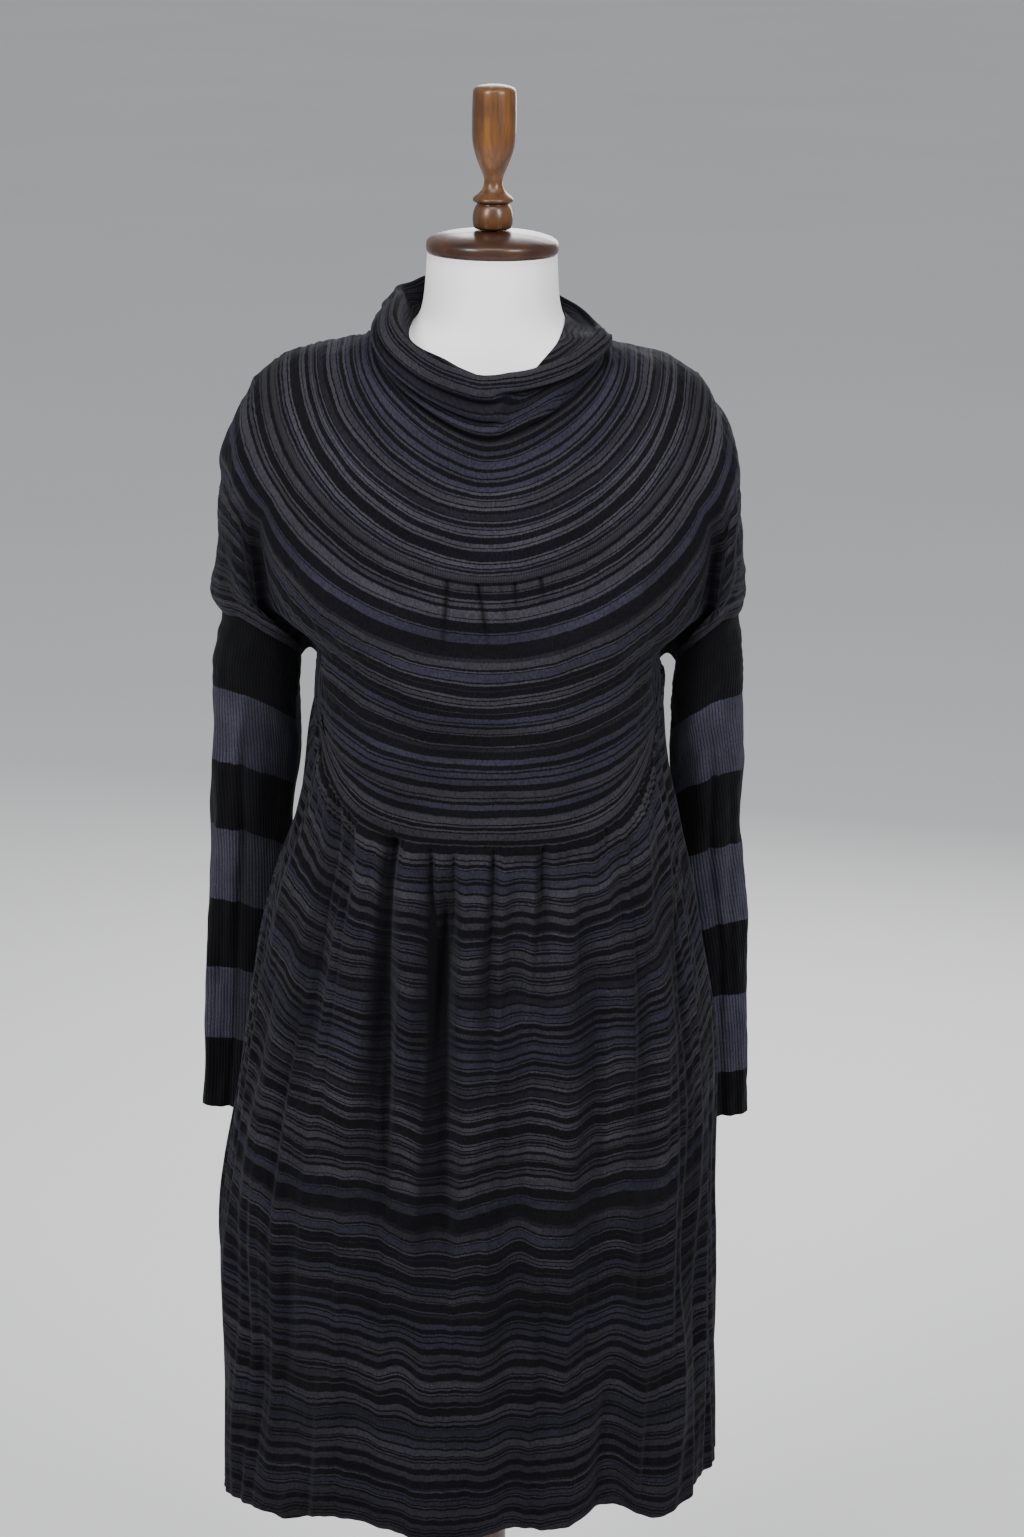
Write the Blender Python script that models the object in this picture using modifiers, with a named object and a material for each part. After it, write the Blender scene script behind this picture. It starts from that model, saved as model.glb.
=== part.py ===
"""A knitted a-line dress on a limbless dress form with a turned wooden stand.

The dress is one cloth surface, cut along its seams into the pieces that are sewn together: a round
yoke, a bodice that runs out over the arms, a gathered skirt, two sleeves and a soft collar. Every
piece is a wall of the cloth's thickness. Units are metres, +Z is up, the front faces -Y, and the
origin is the centre of the base's underside.
"""
import math

import bpy
import numpy as np

# ---------------------------------------------------------------- driving sizes
WALL = 0.0020               # thickness of the knitted cloth
SEAM_GAP = 0.0003           # space between two neighbouring pieces
FORM_CLEARANCE = 0.0018     # from the cloth's inner face to the form

CAP_TOP = 1.5200            # wooden neck cap, where the finial's ball stands on it
CAP_BOTTOM = 1.5000
CAP_RADIUS = 0.0580
NECK_TOP = CAP_BOTTOM - SEAM_GAP
TORSO_BOTTOM = 0.7600
COLUMN_RADIUS = 0.0300
BASE_RADIUS = 0.1900
BASE_HEIGHT = 0.0260
CUFF_HEIGHT = 0.6830        # height of the sleeves' open ends
UNDERARM_RISE = 0.0060      # how far the cloth arches up between body and sleeve at the underarm
CREASE_GROWTH = 0.75        # over how many rings the crease deepens below the yoke
CENTRE_ROUND = 0.020        # how softly the rings turn at their lowest point
CAP_RISE = 2.5              # how soon a ring levels out on its way from the crease round the arm

# Faces along one half ring of the yoke; each finer piece has twice or four times as many.
BODY_FACES = 8
SIDE_FACES = 1
CAP_FACES = 3
FORM_FACES = 28             # round the padded torso

# Sections of the dress, as if its upper sleeves were filled out with the body. Each is an oval
# with its own half width to the left and right, its reach to the front and back, the place of its
# widest point along Y, and how square its front and back halves are (2 is an ellipse).
SECTION_COLUMNS = "height left right front back side_y front_square back_square".split()
SHOULDER_SECTIONS = [
    (1.5020, 0.0610, 0.0610, 0.0610, 0.0610, 0.000, 2.0, 2.0),
    (1.4800, 0.0622, 0.0622, 0.0618, 0.0620, 0.000, 2.0, 2.0),
    (1.4620, 0.0640, 0.0640, 0.0625, 0.0645, 0.000, 2.0, 2.0),
    (1.4490, 0.0680, 0.0680, 0.0635, 0.0680, 0.000, 2.0, 2.0),
    (1.4400, 0.0770, 0.0750, 0.0650, 0.0710, 0.000, 2.0, 2.0),
    (1.4320, 0.0930, 0.0860, 0.0670, 0.0740, 0.000, 2.0, 2.0),
    (1.4240, 0.1200, 0.1010, 0.0690, 0.0770, 0.000, 2.0, 2.0),
    (1.4130, 0.1680, 0.1490, 0.0720, 0.0810, 0.000, 2.1, 2.1),
    (1.3980, 0.1950, 0.1800, 0.0770, 0.0860, 0.000, 2.3, 2.3),
]
DRESS_SECTIONS = SHOULDER_SECTIONS + [
    (1.3700, 0.2080, 0.1980, 0.0880, 0.0930, 0.000, 2.5, 2.5),
    (1.3400, 0.2140, 0.2090, 0.1000, 0.0980, 0.000, 2.5, 2.5),
    (1.3100, 0.2150, 0.2130, 0.1100, 0.1020, 0.000, 2.4, 2.4),
    (1.2500, 0.2100, 0.2090, 0.1260, 0.1070, 0.000, 2.3, 2.3),
    (1.1900, 0.1950, 0.1950, 0.1370, 0.1080, 0.000, 2.2, 2.2),
    (1.1500, 0.1515, 0.1550, 0.1390, 0.1070, 0.000, 2.2, 2.2),
    (1.1120, 0.1525, 0.1570, 0.1390, 0.1060, 0.000, 2.2, 2.2),
    (1.0600, 0.1570, 0.1600, 0.1390, 0.1070, -0.003, 2.2, 2.1),
    (1.0000, 0.1690, 0.1730, 0.1400, 0.1100, -0.012, 2.2, 1.9),
    (0.9500, 0.1860, 0.1840, 0.1430, 0.1140, -0.022, 2.2, 1.8),
    (0.9000, 0.1970, 0.1930, 0.1470, 0.1190, -0.030, 2.2, 1.8),
    (0.8000, 0.2140, 0.2090, 0.1540, 0.1270, -0.036, 2.2, 1.8),
    (0.7000, 0.2270, 0.2150, 0.1600, 0.1330, -0.038, 2.2, 1.8),
    (0.6000, 0.2340, 0.2150, 0.1650, 0.1390, -0.036, 2.2, 1.9),
    (0.5000, 0.2320, 0.2190, 0.1690, 0.1430, -0.032, 2.2, 2.0),
    (0.3400, 0.2350, 0.2240, 0.1720, 0.1460, -0.030, 2.2, 2.1),
]
# The form's own figure below the shoulders, where the dress no longer sets its size.
FIGURE_COLUMNS = "height half_width front back".split()
FIGURE_SECTIONS = [
    (1.4400, 0.2000, 0.1000, 0.1000),
    (1.3980, 0.1860, 0.0800, 0.0850),
    (1.3400, 0.1760, 0.0960, 0.0940),
    (1.2900, 0.1620, 0.1090, 0.0960),
    (1.2200, 0.1480, 0.1240, 0.0930),
    (1.1500, 0.1390, 0.1130, 0.0860),
    (1.0900, 0.1260, 0.0980, 0.0780),
    (1.0300, 0.1190, 0.0920, 0.0740),
    (0.9500, 0.1410, 0.0980, 0.0870),
    (0.8600, 0.1640, 0.1040, 0.1010),
    (0.8000, 0.1660, 0.1030, 0.1000),
    (TORSO_BOTTOM, 0.1600, 0.0980, 0.0950),
]
FORM_SHOULDER_ROWS = (1.4280, 1.4185, 1.4060)   # more heights, where the form's shoulders round over

# Rings of the yoke and bodice, numbered 0 at the collar seam, 1 at the yoke seam and 2 at the
# skirt and sleeve seams. Each climbs from its centre height to the crease in front of (or behind)
# the arm, crosses it, and ends on the line along the top of the shoulder and arm. The crease's
# reach is how far it lies from Y 0; "over" is how far the arm line stands past the section.
RING_COLUMNS = ("ring centre_front centre_back crease_height crease_reach gap bulge bow "
                "arm_left arm_right over_left over_right").split()
RINGS = [
    (0.00, 1.350, 1.422, 1.3920, 0.030, 0.006, 0.000, 0.62, 1.4300, 1.4245, 0.0000, 0.0000),
    (0.50, 1.293, 1.350, 1.3920, 0.030, 0.006, 0.000, 0.86, 1.4190, 1.4150, 0.0000, 0.0000),
    (1.00, 1.233, 1.285, 1.3900, 0.030, 0.006, 0.002, 0.92, 1.4000, 1.3940, 0.0000, 0.0000),
    (1.35, 1.172, 1.225, 1.3130, 0.048, 0.008, 0.010, 0.95, 1.3310, 1.3340, 0.0185, 0.0070),
    (1.70, 1.092, 1.142, 1.2180, 0.054, 0.011, 0.017, 1.15, 1.2520, 1.2560, 0.0280, 0.0140),
    (1.86, 1.051, 1.096, 1.1770, 0.034, 0.013, 0.025, 1.50, 1.2130, 1.2180, 0.0400, 0.0240),
    (2.00, 1.005, 1.048, 1.1400, 0.000, 0.014, 0.041, 2.00, 1.1780, 1.1830, 0.0545, 0.0355),
]
YOKE_RINGS = (0.0, 0.25, 0.5, 0.75, 1.0)
BODICE_RINGS = (1.0, 1.08, 1.20, 1.36, 1.53, 1.70, 1.86, 2.0)

# Pleats let in under the yoke seam, from the centre outwards: place across the front, length,
# half width and depth of each.
PLEAT_COLUMNS = "across length half_width depth".split()
PLEATS = [
    (-0.036, 0.072, 0.009, 0.0045),
    (-0.007, 0.056, 0.009, 0.0040),
    (0.024, 0.034, 0.009, 0.0035),
    (0.046, 0.030, 0.009, 0.0035),
]

# The skirt's gathers and folds: place across at the skirt seam, height where it starts, height
# where it has faded, half width and depth. A trough has a negative depth, a ridge a positive one.
FOLD_COLUMNS = "across start end half_width depth".split()
FRONT_FOLDS = [
    (-0.139, 1.060, 0.560, 0.017, 0.0060),
    (-0.118, 1.050, 0.860, 0.009, -0.0080),
    (-0.101, 1.030, 0.700, 0.011, 0.0060),
    (-0.083, 1.035, 0.500, 0.011, -0.0110),
    (-0.060, 1.010, 0.480, 0.013, 0.0090),
    (-0.036, 1.010, 0.430, 0.013, -0.0125),
    (-0.016, 1.005, 0.860, 0.007, -0.0060),
    (0.000, 0.990, 0.460, 0.016, 0.0080),
    (0.016, 1.005, 0.820, 0.007, -0.0060),
    (0.034, 0.990, 0.380, 0.014, -0.0050),
    (0.053, 1.015, 0.890, 0.008, -0.0075),
    (0.068, 0.990, 0.400, 0.014, 0.0070),
    (0.090, 1.000, 0.400, 0.012, -0.0070),
    (0.110, 1.010, 0.450, 0.011, 0.0065),
    (0.126, 1.030, 0.380, 0.010, -0.0055),
    (0.138, 0.950, 0.400, 0.009, 0.0060),
    (0.148, 0.960, 0.420, 0.008, -0.0100),
    (-0.148, 0.950, 0.560, 0.008, -0.0070),
]
BACK_FOLDS = [
    (-0.142, 1.060, 0.520, 0.012, -0.0055),
    (-0.124, 1.050, 0.420, 0.012, 0.0060),
    (-0.102, 1.050, 0.600, 0.011, -0.0090),
    (-0.080, 1.040, 0.440, 0.013, 0.0085),
    (-0.056, 1.045, 0.450, 0.012, -0.0110),
    (-0.033, 1.040, 0.700, 0.010, 0.0060),
    (-0.016, 1.045, 0.860, 0.008, -0.0065),
    (0.004, 1.030, 0.420, 0.014, 0.0085),
    (0.028, 1.045, 0.430, 0.012, -0.0115),
    (0.052, 1.040, 0.520, 0.012, 0.0080),
    (0.071, 1.045, 0.840, 0.009, -0.0080),
    (0.090, 1.040, 0.400, 0.013, 0.0070),
    (0.111, 1.050, 0.460, 0.011, -0.0085),
    (0.132, 1.060, 0.500, 0.012, 0.0055),
]
FOLD_RISE = 0.035           # length over which a fold deepens below the skirt seam
SKIRT_ROWS = (0.0, 0.025, 0.07, 0.16, 0.30, 0.48, 0.72, 1.0)

# Height of the hem by its place across, from -1 at the left side to 1 at the right side.
HEM_COLUMNS = "across front back".split()
HEM = [
    (-1.00, 0.363, 0.363),
    (-0.86, 0.362, 0.358),
    (-0.70, 0.375, 0.364),
    (-0.50, 0.369, 0.370),
    (-0.28, 0.360, 0.362),
    (0.00, 0.364, 0.359),
    (0.26, 0.375, 0.366),
    (0.48, 0.371, 0.372),
    (0.68, 0.390, 0.368),
    (0.86, 0.368, 0.364),
    (1.00, 0.396, 0.396),
]

# Each sleeve hangs beside the skirt and a little behind it: place of its outer edge, its width
# and depth, and how far back it is drawn.
SLEEVE_COLUMNS = "height outer_left outer_right width_left width_right depth back".split()
SLEEVES = [
    (1.150, 0.2435, 0.2275, 0.0740, 0.0570, 0.080, 0.000),
    (1.100, 0.2455, 0.2290, 0.0770, 0.0640, 0.074, 0.008),
    (1.040, 0.2480, 0.2335, 0.0790, 0.0665, 0.062, 0.026),
    (0.980, 0.2510, 0.2360, 0.0780, 0.0680, 0.052, 0.046),
    (0.920, 0.2540, 0.2405, 0.0745, 0.0710, 0.044, 0.066),
    (0.850, 0.2565, 0.2460, 0.0705, 0.0695, 0.038, 0.080),
    (0.780, 0.2595, 0.2500, 0.0650, 0.0650, 0.034, 0.088),
    (0.680, 0.2620, 0.2525, 0.0610, 0.0610, 0.032, 0.092),
]
SLEEVE_ROWS = (0.0, 0.05, 0.13, 0.26, 0.41, 0.56, 0.71, 0.86, 1.0)
SLEEVE_RIDGE = 0.0030       # the soft ridge down the front of each hanging sleeve

# The collar, by its direction from the neck's axis (0 is the front, 90 the right): how high its
# rolled rim stands over the collar seam, how far it leans in, how far the wall between them
# bulges, and how far the edge inside the rim hangs down.
COLLAR_COLUMNS = "turn stand lean bulge lip".split()
COLLAR = [
    (0, 0.0520, 0.0020, 0.0090, 0.003),
    (45, 0.0340, 0.0000, 0.0060, 0.003),
    (70, 0.0165, 0.0000, 0.0050, 0.003),
    (90, 0.0090, 0.0020, 0.0040, 0.003),
    (110, 0.0150, 0.0050, 0.0040, 0.005),
    (135, 0.0350, 0.0080, 0.0050, 0.008),
    (180, 0.0460, -0.0030, 0.0050, 0.012),
    (225, 0.0440, 0.0100, 0.0050, 0.012),
    (270, 0.0310, 0.0140, 0.0070, 0.008),
    (315, 0.0380, 0.0060, 0.0090, 0.003),
]
COLLAR_FULL_STAND = 0.052   # where the collar stands lower than this its folds are shallower too
COLLAR_ROLL = 0.0035        # radius of the rolled rim
COLLAR_ROWS = (0.0, 0.22, 0.48, 0.74, 1.0)
COLLAR_FOLD = 0.0035        # depth of the soft folds that lie round the front of the collar
COLLAR_FOLDS = 2

# Turned profiles, top to bottom: radius and height.
FINIAL_FOOT = CAP_TOP + SEAM_GAP
FINIAL = [
    (0.0000, FINIAL_FOOT + 0.1257), (0.0090, FINIAL_FOOT + 0.1249), (0.0160, FINIAL_FOOT + 0.1232),
    (0.0188, FINIAL_FOOT + 0.1202), (0.0193, FINIAL_FOOT + 0.1017), (0.0193, FINIAL_FOOT + 0.0837),
    (0.0186, FINIAL_FOOT + 0.0747), (0.0168, FINIAL_FOOT + 0.0667), (0.0128, FINIAL_FOOT + 0.0557),
    (0.0090, FINIAL_FOOT + 0.0477), (0.0079, FINIAL_FOOT + 0.0417), (0.0084, FINIAL_FOOT + 0.0377),
    (0.0109, FINIAL_FOOT + 0.0337), (0.0160, FINIAL_FOOT + 0.0289), (0.0178, FINIAL_FOOT + 0.0262),
    (0.0170, FINIAL_FOOT + 0.0237), (0.0145, FINIAL_FOOT + 0.0212), (0.0150, FINIAL_FOOT + 0.0182),
    (0.0170, FINIAL_FOOT + 0.0142), (0.0176, FINIAL_FOOT + 0.0097), (0.0173, FINIAL_FOOT + 0.0047),
    (0.0161, FINIAL_FOOT), (0.0000, FINIAL_FOOT),
]
NECK_CAP = [
    (0.0000, CAP_TOP), (CAP_RADIUS - 0.0380, CAP_TOP - 0.0002), (CAP_RADIUS - 0.0180, CAP_TOP - 0.0025),
    (CAP_RADIUS - 0.0060, CAP_TOP - 0.0060), (CAP_RADIUS - 0.0015, CAP_TOP - 0.0085),
    (CAP_RADIUS, CAP_TOP - 0.0115), (CAP_RADIUS, CAP_BOTTOM + 0.0035),
    (CAP_RADIUS - 0.0008, CAP_BOTTOM + 0.0008), (CAP_RADIUS - 0.0020, CAP_BOTTOM), (0.0000, CAP_BOTTOM),
]
COLUMN_TOP = TORSO_BOTTOM - SEAM_GAP
COLUMN_FOOT = BASE_HEIGHT + SEAM_GAP
COLUMN = [
    (0.0000, COLUMN_TOP), (COLUMN_RADIUS, COLUMN_TOP), (COLUMN_RADIUS, COLUMN_FOOT + 0.0737),
    (COLUMN_RADIUS + 0.0010, COLUMN_FOOT + 0.0637), (COLUMN_RADIUS + 0.0070, COLUMN_FOOT + 0.0557),
    (COLUMN_RADIUS + 0.0090, COLUMN_FOOT + 0.0477), (COLUMN_RADIUS + 0.0070, COLUMN_FOOT + 0.0397),
    (COLUMN_RADIUS + 0.0020, COLUMN_FOOT + 0.0317), (COLUMN_RADIUS + 0.0030, COLUMN_FOOT + 0.0197),
    (COLUMN_RADIUS + 0.0110, COLUMN_FOOT + 0.0067), (COLUMN_RADIUS + 0.0220, COLUMN_FOOT),
    (0.0000, COLUMN_FOOT),
]
BASE = [
    (0.0000, BASE_HEIGHT), (BASE_RADIUS - 0.0200, BASE_HEIGHT),
    (BASE_RADIUS - 0.0100, BASE_HEIGHT - 0.0020), (BASE_RADIUS - 0.0030, BASE_HEIGHT - 0.0070),
    (BASE_RADIUS, BASE_HEIGHT - 0.0140), (BASE_RADIUS - 0.0005, 0.0040),
    (BASE_RADIUS - 0.0040, 0.0000), (0.0000, 0.0000),
]
TURNED_COLUMNS = "name profile faces slot".split()
TURNED_PIECES = [
    ("neck_cap", NECK_CAP, 28, "dark_wood"),
    ("finial", FINIAL, 16, "turned_wood"),
    ("stand_column", COLUMN, 20, "dark_wood"),
    ("stand_base", BASE, 36, "dark_wood"),
]

# Colour and roughness of each material.
MATERIALS = {
    "striped_knit": ((0.036, 0.037, 0.046), 0.92),
    "ribbed_knit": ((0.022, 0.022, 0.030), 0.90),
    "form_cover": ((0.72, 0.69, 0.66), 0.80),
    "turned_wood": ((0.165, 0.062, 0.026), 0.32),
    "dark_wood": ((0.075, 0.028, 0.014), 0.30),
}


# ---------------------------------------------------------------- curves through the tables
def read(rows, columns, key, value, at):
    """A smooth curve through the rows' values, which never overshoots them."""
    k, v = columns.index(key), columns.index(value)
    table = sorted((row[k], row[v]) for row in rows)
    keys = np.array([row[0] for row in table])
    values = np.array([row[1] for row in table])
    step = np.diff(keys)
    slope = np.diff(values) / step
    tangent = np.concatenate([slope[:1], 0.5 * (slope[:-1] + slope[1:]), slope[-1:]])
    limit = 3 * np.minimum(np.abs(np.append(slope, slope[-1])), np.abs(np.insert(slope, 0, slope[0])))
    tangent = np.clip(tangent, -limit, limit)
    tangent[1:-1][slope[:-1] * slope[1:] <= 0] = 0
    at = np.clip(np.asarray(at, float), keys[0], keys[-1])
    i = np.clip(np.searchsorted(keys, at, side="right") - 1, 0, len(keys) - 2)
    t = (at - keys[i]) / step[i]
    return ((1 + 2 * t) * (1 - t) ** 2 * values[i] + t * t * (3 - 2 * t) * values[i + 1]
            + t * (1 - t) * step[i] * ((1 - t) * tangent[i] - t * tangent[i + 1]))


def section(value, height):
    return read(DRESS_SECTIONS, SECTION_COLUMNS, "height", value, height)


def half_width(x, height):
    return np.where(np.asarray(x) < 0, section("left", height), section("right", height))


def surface_y(x, height, back=False):
    """Where the front (or back) of the body's section lies, at a place across it."""
    square = section("back_square" if back else "front_square", height)
    side = section("side_y", height)
    reach = (section("back", height) if back else -section("front", height)) - side
    across = np.clip(np.abs(x) / half_width(x, height), 0, 1)
    return side + reach * (1 - across ** square) ** (1 / square)


def ease(t):
    t = np.clip(t, 0, 1)
    return t * t * (3 - 2 * t)


def along(points, fractions):
    """Points at the given fractions of a line's length."""
    length = np.concatenate([[0], np.cumsum(np.linalg.norm(np.diff(points, axis=0), axis=1))])
    at = np.asarray(fractions) * length[-1]
    return np.stack([np.interp(at, length, points[:, axis]) for axis in range(3)], -1)


def halved(row):
    """The same line with a point in the middle of every span."""
    fine = np.repeat(row, 2, axis=0)[:-1]
    fine[1::2] = 0.5 * (row[:-1] + row[1:])
    return fine


# ---------------------------------------------------------------- rings of the yoke and bodice
def ring_value(value, ring):
    return float(read(RINGS, RING_COLUMNS, "ring", value, ring))


def climb(turn, bow):
    """How far a ring has climbed, from 0 at its rounded centre to 1 at its end."""
    low, high = CENTRE_ROUND ** bow, (1 + CENTRE_ROUND) ** bow
    return ((1 - np.cos(turn) + CENTRE_ROUND) ** bow - low) / (high - low)


def half_ring(ring, right, back, fineness):
    """Half a ring, from the centre to the arm line, as its body, crease and cap stretches."""
    over_shoulder = shoulder_ring(ring, right, back, fineness)
    crossing = crease_ring(ring, right, back, fineness)
    creased = ease((ring - 1.0) / CREASE_GROWTH)
    return [plain + (folded - plain) * creased for plain, folded in zip(over_shoulder, crossing)]


def shoulder_ring(ring, right, back, fineness):
    """Half a ring that runs straight up over the shoulder, split where the others have a crease."""
    sign = 1 if right else -1
    side = "right" if right else "left"
    centre = ring_value("centre_back" if back else "centre_front", ring)
    arm_height = ring_value("arm_" + side, ring)
    over = ring_value("over_" + side, ring)
    arm_x = float(half_width(sign, arm_height)) + over
    turn = np.linspace(0, math.pi / 2, 200)
    z = centre + (arm_height - centre) * climb(turn, ring_value("bow", ring))
    widest = half_width(sign, z) + over
    x = sign * np.minimum(arm_x * np.sin(turn), widest)
    dense = np.stack([x, surface_y(x * half_width(sign, z) / widest, z, back), z], -1)
    dense[-1, 1] = 0
    q = np.linspace(0, 1, (BODY_FACES + SIDE_FACES + CAP_FACES) * fineness + 1)
    line = along(dense, 0.85 * q + 0.15 * q ** 2)
    to_crease = BODY_FACES * fineness
    to_cap = (BODY_FACES + SIDE_FACES) * fineness
    return line[:to_crease + 1], line[to_crease:to_cap + 1], line[to_cap:]


def crease_ring(ring, right, back, fineness):
    """Half a ring that dips into the crease between the body and the arm."""
    sign = 1 if right else -1
    face = 1 if back else -1
    centre = ring_value("centre_back" if back else "centre_front", ring)
    height = ring_value("crease_height", ring)
    reach = ring_value("crease_reach", ring)
    gap = ring_value("gap", ring)
    square = float(section("back_square" if back else "front_square", height))
    full = float(section("back" if back else "front", height))
    out = (1 - (reach / full) ** square) ** (1 / square)
    crease_x = float(half_width(sign, height)) * out

    turn = np.linspace(0, math.pi / 2, 200)
    z = centre + (height - centre) * climb(turn, ring_value("bow", ring))
    x = sign * np.minimum(crease_x * np.sin(turn), out * half_width(sign, z))
    dense = np.stack([x, surface_y(x, z, back), z], -1)
    dense[-1] = (sign * crease_x, face * reach, height)
    q = np.linspace(0, 1, BODY_FACES * fineness + 1)
    body = along(dense, 0.72 * q + 0.28 * q ** 2)

    depth = ease((ring - 1.0) / 1.0)
    start = np.array([sign * crease_x, face * reach, height])
    finish = start + np.array([sign * gap, 0, -0.2 * gap * depth])
    t = np.linspace(0, 1, SIDE_FACES * fineness + 1)[:, None]
    crease = start + (finish - start) * t
    rise = UNDERARM_RISE * np.sin(math.pi * t[:, 0]) * depth
    crease[:, 2] += rise * ease((ring - 1.7) / 0.3)
    crease[:, 1] -= face * rise * (1 - ease((ring - 1.7) / 0.3))

    side = "right" if right else "left"
    arm_height = ring_value("arm_" + side, ring)
    arm_x = sign * (float(half_width(sign, arm_height)) + ring_value("over_" + side, ring))
    turn = np.linspace(0, math.pi, CAP_FACES * fineness + 1)
    u = (1 - np.cos(turn)) / 2
    cap = np.stack([finish[0] + (arm_x - finish[0]) * u,
                    face * (reach * np.sqrt(1 - u * u) + ring_value("bulge", ring) * np.sin(turn)),
                    finish[2] + (arm_height - finish[2]) * (1 - (1 - u) ** CAP_RISE)], -1)
    return body, crease, cap


def whole_ring(ring, back, fineness):
    """A ring's points across the front, left to right, or across the back, right to left."""
    halves = []
    for right in (False, True):
        body, crease, cap = half_ring(ring, right, back, fineness)
        halves.append(np.concatenate([body, crease[1:], cap[1:]]))
    row = np.concatenate([halves[0][::-1], halves[1][1:]])
    row[[0, -1], 1] = 0
    return row[::-1] if back else row


# ---------------------------------------------------------------- folds
def grid_normals(grid):
    """Outward directions on a grid whose rows run downwards."""
    across = np.gradient(grid, axis=1)
    down = np.gradient(grid, axis=0)
    normal = np.cross(down, across)
    return normal / np.linalg.norm(normal, axis=-1, keepdims=True)


def pleat_depth(across, below):
    total = np.zeros_like(across)
    for row in PLEATS:
        pleat = dict(zip(PLEAT_COLUMNS, row))
        shape = np.exp(-((across - pleat["across"]) / pleat["half_width"]) ** 2)
        total -= pleat["depth"] * shape * (1 - ease(below / pleat["length"])) * ease(below / 0.008)
    return total


def fold_depth(across, height, folds):
    total = np.zeros_like(across)
    for row in folds:
        fold = dict(zip(FOLD_COLUMNS, row))
        length = fold["start"] - fold["end"]
        widen = 1 + 0.6 * ease((fold["start"] - height) / length)
        shape = np.exp(-((across - fold["across"]) / (fold["half_width"] * widen)) ** 2)
        grow = ease((fold["start"] - height) / FOLD_RISE)
        fade = 1 - ease((fold["end"] + 0.55 * length - height) / (0.55 * length))
        total += fold["depth"] * shape * grow * fade
    return total


# ---------------------------------------------------------------- grids of the sewn pieces
def ring_grid(rings, back, fineness, halve_first):
    rows = [whole_ring(ring, back, fineness) for ring in rings]
    if halve_first:
        rows[0] = halved(whole_ring(rings[0], back, fineness // 2))
    return np.stack(rows)


def bodice_grid(back):
    grid = ring_grid(BODICE_RINGS, back, 2, False)
    if back:
        return grid
    below = grid[:1, :, 2] - grid[:, :, 2]
    depth = pleat_depth(grid[:, :, 0], below)
    depth[0] = 0
    return grid + grid_normals(grid) * depth[..., None]


def skirt_grid(back):
    """The skirt's front or back, from its gathered seam down to the hem."""
    halves = []
    for right in (False, True):
        body = half_ring(BODICE_RINGS[-1], right, back, 2)[0]
        halves.append(halved(body))
    top = np.concatenate([halves[0][::-1], halves[1][1:]])
    top = top[::-1] if back else top
    across = top[:, 0] / half_width(top[:, 0], top[[0, -1], 2].max())
    across = np.clip(across, -1, 1)
    hem = read(HEM, HEM_COLUMNS, "across", "back" if back else "front", across)
    rows = []
    for v in SKIRT_ROWS:
        z = top[:, 2] + (hem - top[:, 2]) * v
        spread = half_width(top[:, 0], z) - half_width(top[:, 0], top[:, 2])
        x = top[:, 0] + np.sign(top[:, 0]) * spread * np.abs(across) ** 3
        rows.append(np.stack([x, surface_y(x, z, back), z], -1))
    rows[0] = top
    grid = np.stack(rows)
    folds = BACK_FOLDS if back else FRONT_FOLDS
    depth = fold_depth(top[None, :, 0] + 0 * grid[..., 0], grid[..., 2], folds)
    depth *= 1 - np.abs(across) ** 10
    depth[0] = 0
    return grid + grid_normals(grid) * depth[..., None]


def sleeve_grid(right):
    """A sleeve from its seam to the cuff: across its front, then back behind it."""
    sign = 1 if right else -1
    fronts = halved(half_ring(BODICE_RINGS[-1], right, False, 2)[2])
    backs = halved(half_ring(BODICE_RINGS[-1], right, True, 2)[2])
    turn = np.linspace(0, math.pi, len(fronts))
    if right:
        top = np.concatenate([fronts, backs[-2::-1]])
        turn = np.concatenate([turn, 2 * math.pi - turn[-2::-1]])
    else:
        top = np.concatenate([fronts[::-1], backs[1:]])
        turn = np.concatenate([turn[::-1], -turn[1:]])
    rows = [top]
    for v in SLEEVE_ROWS[1:]:
        z = top[:, 2] + (CUFF_HEIGHT - top[:, 2]) * v
        value = {name: read(SLEEVES, SLEEVE_COLUMNS, "height", name, z) for name in SLEEVE_COLUMNS[1:]}
        side = "right" if right else "left"
        ridge = SLEEVE_RIDGE * np.exp(-((np.cos(turn) - 0.1) / 0.25) ** 2) * (np.sin(turn) > 0)
        x = sign * (value["outer_" + side] - value["width_" + side] * (1 + np.cos(turn)) / 2)
        y = value["back"] - (value["depth"] / 2 + ridge * ease(v / 0.3)) * np.sin(turn)
        rows.append(np.stack([x, y, z], -1))
    return np.stack(rows)


def collar_value(value, turn):
    rows = [(row[0] + whole,) + row[1:] for row in COLLAR for whole in (-360, 0, 360)]
    return read(rows, COLLAR_COLUMNS, "turn", value, turn)


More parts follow.
